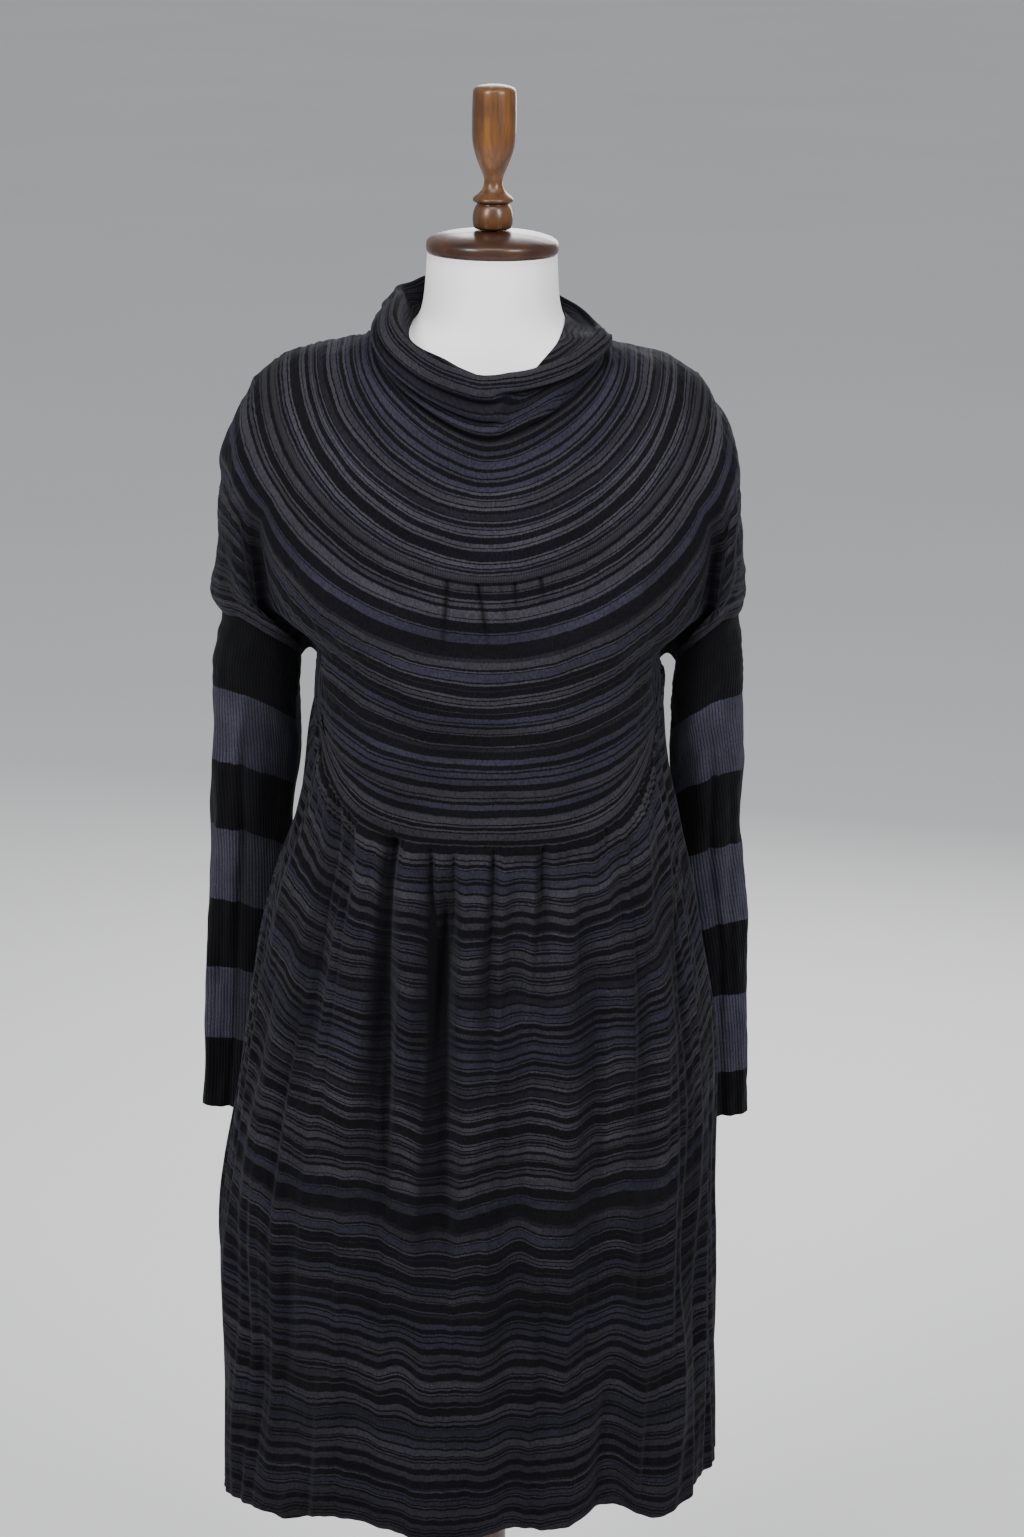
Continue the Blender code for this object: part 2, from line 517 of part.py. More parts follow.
def collar_grid():
    """The collar from the edge inside its rolled rim, over the rim and down to the yoke."""
    front = whole_ring(0.0, False, 1)
    back = whole_ring(0.0, True, 1)
    base = np.concatenate([front, back[1:]])
    turn = np.degrees(np.arctan2(base[:, 0], -base[:, 1])) % 360
    out = np.stack([np.sin(np.radians(turn)), -np.cos(np.radians(turn)), 0 * turn], -1)
    up = np.array([0, 0, 1.0])
    stand = collar_value("stand", turn)
    rim = base + up * stand[:, None] - out * collar_value("lean", turn)[:, None]
    bulge = collar_value("bulge", turn)
    depth = COLLAR_FOLD * (0.5 + 0.5 * np.cos(np.radians(turn))) * stand / COLLAR_FULL_STAND
    lip = rim - 2 * COLLAR_ROLL * out - up * collar_value("lip", turn)[:, None]
    rows = [lip]
    for bend in (180, 90):
        angle = math.radians(bend)
        rows.append(rim + COLLAR_ROLL * ((math.cos(angle) - 1) * out + math.sin(angle) * up))
    for t in COLLAR_ROWS:
        fold = depth * math.sin(2 * math.pi * COLLAR_FOLDS * t)
        swell = (bulge * math.sin(math.pi * t) + fold)[:, None]
        rows.append(rim + (base - rim) * t + out * swell)
    rows[-1] = base
    return np.stack(rows)


# ---------------------------------------------------------------- the cloth, cut into its pieces
class Cloth:
    """One surface whose pieces share their points along the seams, before it is cut apart."""

    def __init__(self):
        self.points = []
        self.numbers = {}
        self.pieces = {}
        self.middles = {}

    def number(self, point):
        key = tuple(int(round(c * 1e6)) for c in point)
        if key not in self.numbers:
            self.numbers[key] = len(self.points)
            self.points.append(point)
        return self.numbers[key]

    def add(self, name, grid, finer_than_above=False):
        """Adds a grid whose rows run down the cloth and whose columns go round it from the left."""
        numbers = [[self.number(point) for point in row] for row in grid]
        if finer_than_above:
            top = numbers[0]
            for i in range(1, len(top), 2):
                self.middles[frozenset((top[i - 1], top[i + 1]))] = top[i]
        faces = self.pieces.setdefault(name, [])
        for upper, lower in zip(numbers, numbers[1:]):
            for i in range(len(upper) - 1):
                corners = (upper[i], lower[i], lower[i + 1], upper[i + 1])
                face = tuple(n for j, n in enumerate(corners) if n != corners[j - 1])
                if len(face) > 2:
                    faces.append(face)

    def normals(self):
        points = np.array(self.points)
        total = np.zeros_like(points)
        for faces in self.pieces.values():
            for face in faces:
                corners = points[list(face)]
                total[list(face)] += face_normal(corners)
        total[points[:, 1] == 0, 1] = 0
        return total / np.linalg.norm(total, axis=1, keepdims=True)

    def seam_shifts(self, inwards):
        """How far each piece draws in each of its edge points, away from the pieces beside it."""
        shifts = {}
        for name, own in inwards.items():
            for n, inward in own.items():
                others = [beside[n] for key, beside in inwards.items() if key != name and n in beside]
                away = inward - np.mean(others, axis=0) if others else inward
                away = away * np.linalg.norm(inward) / max(np.linalg.norm(away), 0.01)
                shifts[name, n] = SEAM_GAP / 2 * away
        for (name, n), shift in shifts.items():
            if self.points[n][1] == 0:
                shift[1] = 0 if abs(shift[1]) < 1e-6 else math.copysign(SEAM_GAP / 2, shift[1])
        return shifts

    def build(self, collection, materials):
        for name, faces in self.pieces.items():
            self.pieces[name] = [with_middles(face, self.middles) for face in faces]
        points = np.array(self.points)
        normals = self.normals()
        edges = {name: open_edges(faces) for name, faces in self.pieces.items()}
        inwards = {name: edge_directions(points, edges[name]) for name in self.pieces}
        shifts = self.seam_shifts(inwards)
        for name, faces in self.pieces.items():
            used = sorted({n for face in faces for n in face})
            place = {n: i for i, n in enumerate(used)}
            count = len(used)
            outer = [points[n] + shifts.get((name, n), 0) for n in used]
            inner = [point - WALL * normals[n] for point, n in zip(outer, used)]
            skin = [[place[n] for n in face] for face in faces]
            lining = [[i + count for i in reversed(face)] for face in skin]
            rim = [face for edge in edges[name] for face in rim_faces(edge, place, count)]
            make_mesh(name, outer + inner, skin + lining + rim, collection, materials[name])


def with_middles(face, middles):
    """The face, with the points that a finer piece beside it has in the middle of its edges."""
    corners = []
    for a, b in zip(face, face[1:] + face[:1]):
        corners.append(a)
        if frozenset((a, b)) in middles:
            corners.append(middles[frozenset((a, b))])
    return tuple(corners)


def rim_faces(edge, place, count):
    """The wall's edge along one seam edge, split the same way on both pieces that meet there."""
    a, b = place[edge[0]], place[edge[1]]
    if edge[0] < edge[1]:
        return [[b, a, b + count], [a, a + count, b + count]]
    return [[b, a, a + count], [b, a + count, b + count]]


def face_normal(corners):
    """Area-weighted normal of a flat or nearly flat face."""
    first = corners[1:-1] - corners[0]
    second = corners[2:] - corners[0]
    return np.cross(first, second).sum(axis=0)


def open_edges(faces):
    """The edges round a piece, each with the face that it belongs to."""
    owner = {}
    for face in faces:
        for a, b in zip(face, face[1:] + face[:1]):
            owner[(a, b)] = face
    return {edge: face for edge, face in owner.items() if (edge[1], edge[0]) not in owner}


def edge_directions(points, edges):
    """The way into the piece at each point of its edge, longer where two edges make a corner."""
    found = {}
    for (a, b), face in edges.items():
        inward = np.cross(face_normal(points[list(face)]), points[b] - points[a])
        inward = inward / np.linalg.norm(inward)
        found.setdefault(a, []).append(inward)
        found.setdefault(b, []).append(inward)
    return {n: (two[0] + two[-1]) / max(1 + two[0] @ two[-1], 0.3) for n, two in found.items()}


def make_mesh(name, vertices, faces, collection, material):
    mesh = bpy.data.meshes.new(name)
    mesh.from_pydata([tuple(map(float, v)) for v in vertices], [], faces)
    mesh.shade_smooth()
    mesh.materials.append(material)
    obj = bpy.data.objects.new(name, mesh)
    collection.objects.link(obj)
    return obj


def make_dress(collection, materials):
    cloth = Cloth()
    cloth.add("collar", collar_grid())
    cloth.add("yoke_front", ring_grid(YOKE_RINGS, False, 2, True), True)
    cloth.add("yoke_back", ring_grid(YOKE_RINGS, True, 2, True), True)
    cloth.add("bodice_front", bodice_grid(False))
    cloth.add("bodice_back", bodice_grid(True))
    cloth.add("skirt_front", skirt_grid(False), True)
    cloth.add("skirt_back", skirt_grid(True), True)
    cloth.add("sleeve_left", sleeve_grid(False), True)
    cloth.add("sleeve_right", sleeve_grid(True), True)
    slots = {name: "ribbed_knit" if name.startswith("sleeve") else "striped_knit" for name in cloth.pieces}
    cloth.build(collection, {name: materials[slot] for name, slot in slots.items()})


# ---------------------------------------------------------------- the form and its stand
def make_torso(collection, material):
    """The covered form: the figure, kept inside the dress by the cloth and its clearance."""
    inset = WALL + FORM_CLEARANCE
    heights = [row[0] for row in SHOULDER_SECTIONS[1:] + FIGURE_SECTIONS[2:]]
    rows = []
    for height in [NECK_TOP] + sorted(heights + list(FORM_SHOULDER_ROWS), reverse=True):
        at = height + inset
        figure = {name: float(read(FIGURE_SECTIONS, FIGURE_COLUMNS, "height", name, height))
                  for name in FIGURE_COLUMNS[1:]}
        dress = {name: float(section(name, at)) - inset for name in ("left", "right", "front", "back")}
        square = float(section("front_square", at))
        ring = []
        for i in range(FORM_FACES):
            turn = 2 * math.pi * i / FORM_FACES
            s, c = math.sin(turn), math.cos(turn)
            wide = min(figure["half_width"], dress["right" if s > 0 else "left"])
            deep = min(figure["front"], dress["front"]) if c > 0 else min(figure["back"], dress["back"])
            x = math.copysign(abs(s) ** (2 / square), s) * wide
            y = -math.copysign(abs(c) ** (2 / square), c) * deep
            ring.append((x, y, height))
        rows.append(ring)
    vertices = [point for ring in rows for point in ring]
    faces = [tuple(range(FORM_FACES))]
    for row in range(len(rows) - 1):
        for i in range(FORM_FACES):
            j = (i + 1) % FORM_FACES
            upper, lower = row * FORM_FACES, (row + 1) * FORM_FACES
            faces.append((upper + i, lower + i, lower + j, upper + j))
    last = (len(rows) - 1) * FORM_FACES
    faces.append(tuple(last + i for i in reversed(range(FORM_FACES))))
    return make_mesh("form_torso", vertices, faces, collection, material)


def make_turned(name, profile, steps, collection, material):
    """A turned piece: its profile runs down the outer side, from the top to the bottom."""
    mesh = bpy.data.meshes.new(name)
    vertices = [(radius, 0.0, height) for radius, height in profile]
    mesh.from_pydata(vertices, [(i, i + 1) for i in range(len(vertices) - 1)], [])
    mesh.materials.append(material)
    obj = bpy.data.objects.new(name, mesh)
    collection.objects.link(obj)
    screw = obj.modifiers.new("turn", "SCREW")
    screw.axis = "Z"
    screw.steps = steps
    screw.render_steps = steps
    screw.use_merge_vertices = True
    screw.merge_threshold = 0.00001
    screw.use_smooth_shade = True
    return obj


def make_material(name, colour, roughness):
    material = bpy.data.materials.new(name)
    material.use_nodes = True
    shader = material.node_tree.nodes["Principled BSDF"]
    shader.inputs["Base Color"].default_value = (*colour, 1.0)
    shader.inputs["Roughness"].default_value = roughness
    shader.inputs["Metallic"].default_value = 0.0
    material.diffuse_color = (*colour, 1.0)
    return material


def main():
    for obj in list(bpy.data.objects):
        bpy.data.objects.remove(obj, do_unlink=True)
    collection = bpy.data.collections.new("dress_on_form")
    bpy.context.scene.collection.children.link(collection)

    materials = {slot: make_material(slot, *look) for slot, look in MATERIALS.items()}
    make_dress(collection, materials)
    make_torso(collection, materials["form_cover"])
    for row in TURNED_PIECES:
        piece = dict(zip(TURNED_COLUMNS, row))
        make_turned(piece["name"], piece["profile"], piece["faces"], collection, materials[piece["slot"]])


main()
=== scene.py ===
"""Looks of the knitted a-line dress on its dress form: cloth skins, covered form, turned wood."""

import math

import bmesh
import bpy
import numpy as np
from mathutils import Matrix


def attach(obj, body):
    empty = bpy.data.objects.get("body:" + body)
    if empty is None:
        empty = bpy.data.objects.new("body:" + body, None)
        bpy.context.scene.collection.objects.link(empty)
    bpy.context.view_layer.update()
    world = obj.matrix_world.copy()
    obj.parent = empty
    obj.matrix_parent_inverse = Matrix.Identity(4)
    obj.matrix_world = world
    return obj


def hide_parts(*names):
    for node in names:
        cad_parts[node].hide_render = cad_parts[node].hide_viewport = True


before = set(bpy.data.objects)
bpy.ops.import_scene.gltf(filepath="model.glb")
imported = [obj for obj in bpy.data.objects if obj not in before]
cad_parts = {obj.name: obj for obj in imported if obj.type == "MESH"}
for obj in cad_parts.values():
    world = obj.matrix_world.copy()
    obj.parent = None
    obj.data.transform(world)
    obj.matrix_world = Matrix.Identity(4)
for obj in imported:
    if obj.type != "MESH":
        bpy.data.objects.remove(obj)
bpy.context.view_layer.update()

# ---- sizes, as in the part
WALL = 0.002
SEAM_GAP = 0.0003
FORM_CLEARANCE = 0.0018
FORM_INSET = WALL + FORM_CLEARANCE + 0.0002  # of the form's skin from the cloth's outside
CAP_TOP = 1.52
CAP_BOTTOM = 1.5
CAP_RADIUS = 0.058
NECK_TOP = CAP_BOTTOM - SEAM_GAP
TORSO_BOTTOM = 0.76
COLUMN_RADIUS = 0.03
BASE_RADIUS = 0.19
BASE_HEIGHT = 0.026
CUFF_HEIGHT = 0.683
UNDERARM_RISE = 0.006
CREASE_GROWTH = 0.75
CENTRE_ROUND = 0.02
CAP_RISE = 2.5
BODY_FACES = 8  # faces of half a ring: across the body, through the crease, over the arm
SIDE_FACES = 1
CAP_FACES = 3
HALF_RING_FACES = BODY_FACES + SIDE_FACES + CAP_FACES
CURVE_POINTS = 400  # points of the fine curve that a ring's columns are taken from
SHOULDER_SPREAD = 0.15  # how much the columns move apart towards the end of a ring
CREASE_SPREAD = 0.28
CREASE_DROP = 0.2  # how far a ring sinks through the crease, as a share of its gap

SECTION_COLUMNS = "height left right front back side_y front_square back_square".split()
DRESS_SECTIONS = [
    (1.502, 0.0610, 0.0610, 0.0610, 0.0610, 0.000, 2.0, 2.0),
    (1.480, 0.0622, 0.0622, 0.0618, 0.0620, 0.000, 2.0, 2.0),
    (1.462, 0.0640, 0.0640, 0.0625, 0.0645, 0.000, 2.0, 2.0),
    (1.449, 0.0680, 0.0680, 0.0635, 0.0680, 0.000, 2.0, 2.0),
    (1.440, 0.0770, 0.0750, 0.0650, 0.0710, 0.000, 2.0, 2.0),
    (1.432, 0.0930, 0.0860, 0.0670, 0.0740, 0.000, 2.0, 2.0),
    (1.424, 0.1200, 0.1010, 0.0690, 0.0770, 0.000, 2.0, 2.0),
    (1.413, 0.1680, 0.1490, 0.0720, 0.0810, 0.000, 2.1, 2.1),
    (1.398, 0.1950, 0.1800, 0.0770, 0.0860, 0.000, 2.3, 2.3),
    (1.370, 0.2080, 0.1980, 0.0880, 0.0930, 0.000, 2.5, 2.5),
    (1.340, 0.2140, 0.2090, 0.1000, 0.0980, 0.000, 2.5, 2.5),
    (1.310, 0.2150, 0.2130, 0.1100, 0.1020, 0.000, 2.4, 2.4),
    (1.250, 0.2100, 0.2090, 0.1260, 0.1070, 0.000, 2.3, 2.3),
    (1.190, 0.1950, 0.1950, 0.1370, 0.1080, 0.000, 2.2, 2.2),
    (1.150, 0.1515, 0.1550, 0.1390, 0.1070, 0.000, 2.2, 2.2),
    (1.112, 0.1525, 0.1570, 0.1390, 0.1060, 0.000, 2.2, 2.2),
    (1.060, 0.1570, 0.1600, 0.1390, 0.1070, -0.003, 2.2, 2.1),
    (1.000, 0.1690, 0.1730, 0.1400, 0.1100, -0.012, 2.2, 1.9),
    (0.950, 0.1860, 0.1840, 0.1430, 0.1140, -0.022, 2.2, 1.8),
    (0.900, 0.1970, 0.1930, 0.1470, 0.1190, -0.030, 2.2, 1.8),
    (0.800, 0.2140, 0.2090, 0.1540, 0.1270, -0.036, 2.2, 1.8),
    (0.700, 0.2270, 0.2150, 0.1600, 0.1330, -0.038, 2.2, 1.8),
    (0.600, 0.2340, 0.2150, 0.1650, 0.1390, -0.036, 2.2, 1.9),
    (0.500, 0.2320, 0.2190, 0.1690, 0.1430, -0.032, 2.2, 2.0),
    (0.340, 0.2350, 0.2240, 0.1720, 0.1460, -0.030, 2.2, 2.1),
]
FIGURE_COLUMNS = "height half_width front back".split()
FIGURE_SECTIONS = [
    (1.440, 0.200, 0.100, 0.100),
    (1.398, 0.186, 0.080, 0.085),
    (1.340, 0.176, 0.096, 0.094),
    (1.290, 0.162, 0.109, 0.096),
    (1.220, 0.148, 0.124, 0.093),
    (1.150, 0.139, 0.113, 0.086),
    (1.090, 0.126, 0.098, 0.078),
    (1.030, 0.119, 0.092, 0.074),
    (0.950, 0.141, 0.098, 0.087),
    (0.860, 0.164, 0.104, 0.101),
    (0.800, 0.166, 0.103, 0.100),
    (TORSO_BOTTOM, 0.160, 0.098, 0.095),
]
RING_COLUMNS = ("ring centre_front centre_back crease_height crease_reach gap bulge bow "
                "arm_left arm_right over_left over_right").split()
RINGS = [
    (0.00, 1.350, 1.422, 1.392, 0.030, 0.006, 0.000, 0.62, 1.430, 1.4245, 0.0000, 0.0000),
    (0.50, 1.293, 1.350, 1.392, 0.030, 0.006, 0.000, 0.86, 1.419, 1.4150, 0.0000, 0.0000),
    (1.00, 1.233, 1.285, 1.390, 0.030, 0.006, 0.002, 0.92, 1.400, 1.3940, 0.0000, 0.0000),
    (1.35, 1.172, 1.225, 1.313, 0.048, 0.008, 0.010, 0.95, 1.331, 1.3340, 0.0185, 0.0070),
    (1.70, 1.092, 1.142, 1.218, 0.054, 0.011, 0.017, 1.15, 1.252, 1.2560, 0.0280, 0.0140),
    (1.86, 1.051, 1.096, 1.177, 0.034, 0.013, 0.025, 1.50, 1.213, 1.2180, 0.0400, 0.0240),
    (2.00, 1.005, 1.048, 1.140, 0.000, 0.014, 0.041, 2.00, 1.178, 1.1830, 0.0545, 0.0355),
]
HEM_COLUMNS = "across front back".split()
HEM = [
    (-1, 0.363, 0.363), (-0.86, 0.362, 0.358), (-0.7, 0.375, 0.364), (-0.5, 0.369, 0.37),
    (-0.28, 0.36, 0.362), (0, 0.364, 0.359), (0.26, 0.375, 0.366), (0.48, 0.371, 0.372),
    (0.68, 0.39, 0.368), (0.86, 0.368, 0.364), (1, 0.396, 0.396),
]
SLEEVE_COLUMNS = "height outer_left outer_right width_left width_right depth back".split()
SLEEVES = [
    (1.15, 0.2435, 0.2275, 0.0740, 0.0570, 0.080, 0.000),
    (1.10, 0.2455, 0.2290, 0.0770, 0.0640, 0.074, 0.008),
    (1.04, 0.2480, 0.2335, 0.0790, 0.0665, 0.062, 0.026),
    (0.98, 0.2510, 0.2360, 0.0780, 0.0680, 0.052, 0.046),
    (0.92, 0.2540, 0.2405, 0.0745, 0.0710, 0.044, 0.066),
    (0.85, 0.2565, 0.2460, 0.0705, 0.0695, 0.038, 0.080),
    (0.78, 0.2595, 0.2500, 0.0650, 0.0650, 0.034, 0.088),
    (0.68, 0.2620, 0.2525, 0.0610, 0.0610, 0.032, 0.092),
]
COLLAR_COLUMNS = "turn stand lean bulge lip".split()
COLLAR = [
    (0, 0.052, 0.002, 0.009, 0.003), (45, 0.034, 0, 0.006, 0.003),
    (70, 0.0165, 0, 0.005, 0.003), (90, 0.009, 0.002, 0.004, 0.003),
    (110, 0.015, 0.005, 0.004, 0.005), (135, 0.035, 0.008, 0.005, 0.008),
    (180, 0.046, -0.003, 0.005, 0.012), (225, 0.044, 0.01, 0.005, 0.012),
    (270, 0.031, 0.014, 0.007, 0.008), (315, 0.038, 0.006, 0.009, 0.003),
]
# The collar's inner layer meets the form along a line: its turn round the neck and its height.
INSIDE_COLUMNS = "turn contact".split()
INSIDE = [
    (0, 1.4), (17, 1.4055), (28, 1.4078), (36, 1.416), (43, 1.422), (52, 1.4292), (62, 1.4362),
    (77, 1.4435), (100, 1.449), (130, 1.452), (180, 1.45), (220, 1.45), (260, 1.445),
    (282, 1.4377), (300, 1.4285), (314, 1.4226), (328, 1.4165), (339, 1.4097), (350, 1.4045),
]
COLLAR_ROLL = 0.0035  # radius of the rolled edge
FULL_STAND = 0.052  # where the collar stands lower than this its rolls are shallower too
RIM_BAND = 0.0085  # width of the flat rim at the front right
INSIDE_CLEARANCE = 0.0014  # between the inner layer and the form
INSIDE_STRIPES = 1.9  # how much closer the stripes are there, where the cloth is pulled in

# ---- folds
# Pleats under the yoke seam: place across at the top and at the bottom, length, width, depth.
PLEAT_COLUMNS = "top bottom length half_width depth".split()
PLEATS = [
    (-0.0335, -0.038, 0.07, 0.0022, 0.0044), (-0.0075, 0.004, 0.064, 0.0022, 0.0042),
    (0.024, 0.027, 0.03, 0.0019, 0.0032), (0.046, 0.0505, 0.026, 0.0019, 0.003),
    (0.012, 0.022, 0.058, 0.0026, 0.0012),
]
# Skirt folds: place across at the seam, sideways drift towards the hem, heights where the fold
# starts and has faded, half width, how much it widens, and depth (a trough is negative).
FOLD_COLUMNS = "across drift start end half_width widen depth".split()
FRONT_FOLDS = [
    (-0.139, -0.01, 1.07, 0.56, 0.013, 0.8, 0.007),
    (-0.128, 0.004, 1.05, 0.64, 0.006, 1, -0.0085),
    (-0.116, 0.002, 1.06, 0.9, 0.006, 1, -0.007),
    (-0.104, 0.004, 1.04, 0.56, 0.012, 0.6, 0.0075),
    (-0.079, 0.002, 1.035, 0.59, 0.009, 0.9, -0.016),
    (-0.064, 0.004, 1.01, 0.43, 0.012, 0.5, 0.011),
    (-0.045, 0.008, 1.006, 0.78, 0.004, 1.6, -0.008),
    (-0.034, 0.003, 0.992, 0.54, 0.0125, 0.7, -0.0185),
    (-0.025, -0.005, 1.004, 0.8, 0.004, 1.6, -0.008),
    (-0.012, 0.006, 0.99, 0.42, 0.014, 0.5, 0.01),
    (0.009, -0.003, 1.005, 0.74, 0.0042, 1.4, -0.009),
    (0.034, 0.004, 0.99, 0.38, 0.015, 0.6, -0.0052),
    (0.054, 0, 1.015, 0.86, 0.0044, 1.5, -0.0082),
    (0.07, 0.006, 0.99, 0.4, 0.015, 0.7, 0.0075),
    (0.092, 0.004, 0.98, 0.4, 0.012, 0.8, -0.007),
    (0.11, 0.004, 0.96, 0.42, 0.011, 0.7, 0.0065),
    (0.126, 0.002, 0.93, 0.38, 0.009, 0.8, -0.0055),
    (0.138, 0, 0.95, 0.4, 0.008, 0.7, 0.0065),
    (0.1475, -0.003, 0.985, 0.44, 0.0045, 1, -0.011),
    (-0.148, -0.004, 0.96, 0.52, 0.01, 0.8, -0.004),
    (-0.13, -0.004, 0.64, 0.4, 0.01, 0.4, -0.0045),
    (-0.108, 0.004, 0.62, 0.44, 0.01, 0.4, 0.0035),
    (-0.098, 0.004, 0.52, 0.44, 0.006, 0.4, -0.0035),
    (0.02, 0.004, 0.7, 0.42, 0.01, 0.4, -0.003),
    (0.058, 0, 0.66, 0.4, 0.01, 0.4, -0.0034),
]
BACK_FOLDS = [
    (-0.142, -0.006, 1.06, 0.52, 0.01, 0.8, -0.006),
    (-0.124, -0.003, 1.05, 0.42, 0.012, 0.6, 0.0062),
    (-0.102, -0.004, 1.05, 0.6, 0.007, 1.3, -0.0095),
    (-0.08, 0, 1.04, 0.44, 0.013, 0.6, 0.0085),
    (-0.056, -0.003, 1.045, 0.45, 0.008, 1.4, -0.012),
    (-0.033, 0.002, 1.04, 0.7, 0.01, 0.6, 0.006),
    (-0.016, 0, 1.045, 0.86, 0.005, 1.5, -0.0068),
    (0.004, 0.003, 1.03, 0.42, 0.014, 0.6, 0.0085),
    (0.028, 0.003, 1.045, 0.43, 0.008, 1.5, -0.0125),
    (0.052, 0, 1.04, 0.52, 0.012, 0.6, 0.008),
    (0.071, 0.003, 1.045, 0.84, 0.006, 1.3, -0.0085),
    (0.09, 0.003, 1.04, 0.4, 0.013, 0.6, 0.007),
    (0.111, 0.005, 1.05, 0.46, 0.008, 1, -0.009),
    (0.132, 0.004, 1.06, 0.5, 0.012, 0.6, 0.0055),
]
FOLD_RISE = 0.022  # height over which a fold grows to its full depth
SLOW_RISE = 0.085
BELOW_SEAM = 0.995  # folds that start lower than this begin slowly
SEAM_RISE = 0.01  # the same, counted from the seam
CRISP_DEPTH = 0.011  # troughs shallower than this are rounder
DARK_DEPTH = 0.0145  # a trough this deep is fully dark
TUCK_RISE = 0.0035  # how far an upper edge goes on behind its neighbour, and how deep
TUCK_DEPTH = 0.0013
SLIP = 0.368  # how much stripes slip past each other at a fold
EDGE_SHADE = 0.1  # how much painted shade a turned edge has inside
BEND_ROWS, INSIDE_ROWS = 5, 3  # rows of a turned edge, round its bend and up inside
SEAM_EASE = 0.0014  # how near a seam the folds begin
SKIRT_LENGTH = 0.655
YOKE_FINENESS, BODICE_FINENESS = 15, 15  # columns for each face of the part
FRONT_FINENESS, BACK_FINENESS = 19, 12  # of the skirt
SLEEVE_FINENESS, COLLAR_FINENESS = 24, 11


# ---- curves through the tables
def read(rows, columns, value, at):
    """A smooth curve over a table's first column, which never overshoots the rows' values."""
    keys, values = np.array(sorted((row[0], row[columns.index(value)]) for row in rows), float).T
    step = np.diff(keys)
    slope = np.diff(values) / step
    tangent = np.concatenate([slope[:1], 0.5 * (slope[:-1] + slope[1:]), slope[-1:]])
    limit = 3 * np.minimum(np.abs(np.append(slope, slope[-1])), np.abs(np.insert(slope, 0, slope[0])))
    tangent = np.clip(tangent, -limit, limit)
    tangent[1:-1][slope[:-1] * slope[1:] <= 0] = 0
    at = np.clip(np.asarray(at, float), keys[0], keys[-1])
    i = np.clip(np.searchsorted(keys, at, side="right") - 1, 0, len(keys) - 2)
    t = (at - keys[i]) / step[i]
    return ((1 + 2 * t) * (1 - t) ** 2 * values[i] + t * t * (3 - 2 * t) * values[i + 1]
            + t * (1 - t) * step[i] * ((1 - t) * tangent[i] - t * tangent[i + 1]))


def read_all(rows, columns, at):
    """Every value of a table at a place, by name."""
    return {name: read(rows, columns, name, at) for name in columns[1:]}


def three_times_round(rows):
    """A table that goes once round the neck in degrees, with a turn before it and one after."""
    return [(row[0] + whole, *row[1:]) for row in rows for whole in (-360, 0, 360)]


def named(rows, columns):
    return [dict(zip(columns, row)) for row in rows]


def section(value, height):
    return read(DRESS_SECTIONS, SECTION_COLUMNS, value, height)


def half_width(x, height):
    return np.where(np.asarray(x) < 0, section("left", height), section("right", height))


def surface_y(x, height, back=False):
    """Where the front (or back) of the body's section lies, at a place across it."""
    square = section("back_square" if back else "front_square", height)
    side = section("side_y", height)
    reach = (section("back", height) if back else -section("front", height)) - side
    across = np.clip(np.abs(x) / half_width(x, height), 0, 1)
    return side + reach * (1 - across ** square) ** (1 / square)


def form_section(s, c, height):
    """The form's half width, its depth and how square it is, towards a direction's sine and cosine."""
    at = np.asarray(height) + FORM_INSET
    figure = read_all(FIGURE_SECTIONS, FIGURE_COLUMNS, height)
    dress = {name: section(name, at) - FORM_INSET for name in ("left", "right", "front", "back")}
    wide = np.minimum(figure["half_width"], np.where(s > 0, dress["right"], dress["left"]))
    front, back = [np.minimum(figure[name], dress[name]) for name in ("front", "back")]
    return wide, np.where(c > 0, front, back), section("front_square", at)


def form_reach(radians, height):
    """How far the form's surface is from its axis, in a direction counted from the front."""
    s, c = np.sin(radians), np.cos(radians)
    wide, deep, square = form_section(s, c, height)
    return (np.abs(s / wide) ** square + np.abs(c / deep) ** square) ** (-1 / square)


def ease(t):
    t = np.clip(t, 0, 1)
    return t * t * (3 - 2 * t)


def bell(distance, width):
    return np.exp(-(distance / width) ** 2)


def bells(place, rows):
    """Soft ridges and troughs side by side: the height, place and width of each."""
    return sum(height * bell(place - at, width) for height, at, width in rows)


def ripple(u, v, size_u, size_v, seed, waves=14):
    """A smooth uneven field with waves of about the given lengths, of height about 1."""
    rng = np.random.default_rng(seed)
    total = np.zeros(np.broadcast(u, v).shape)
    for _ in range(waves):
        fu, fv = rng.normal() / size_u, rng.normal() / size_v
        total += np.cos(2 * math.pi * (u * fu + v * fv) + rng.uniform(0, 2 * math.pi))
    return total / math.sqrt(waves / 2)


def uneven(u, v, rows, seed=0):
    """Ripples over each other: the height, two wave lengths and seed of each."""
    return sum(height * ripple(u, v, size_u, size_v, seed + own) for height, size_u, size_v, own in rows)


def along(points, fractions):
    length = np.concatenate([[0], np.cumsum(np.linalg.norm(np.diff(points, axis=0), axis=1))])
    at = np.asarray(fractions) * length[-1]
    return np.stack([np.interp(at, length, points[:, axis]) for axis in range(3)], -1)


def merged(*places):
    return np.unique(np.concatenate(places))


# ---- rings of the yoke and bodice
def ring_value(value, ring):
    return float(read(RINGS, RING_COLUMNS, value, ring))


def climb(turn, ring):
    """How far a ring has climbed, from 0 at its rounded centre to 1 at its end."""
    bow = ring_value("bow", ring)
    low, high = CENTRE_ROUND ** bow, (1 + CENTRE_ROUND) ** bow
    return ((1 - np.cos(turn) + CENTRE_ROUND) ** bow - low) / (high - low)


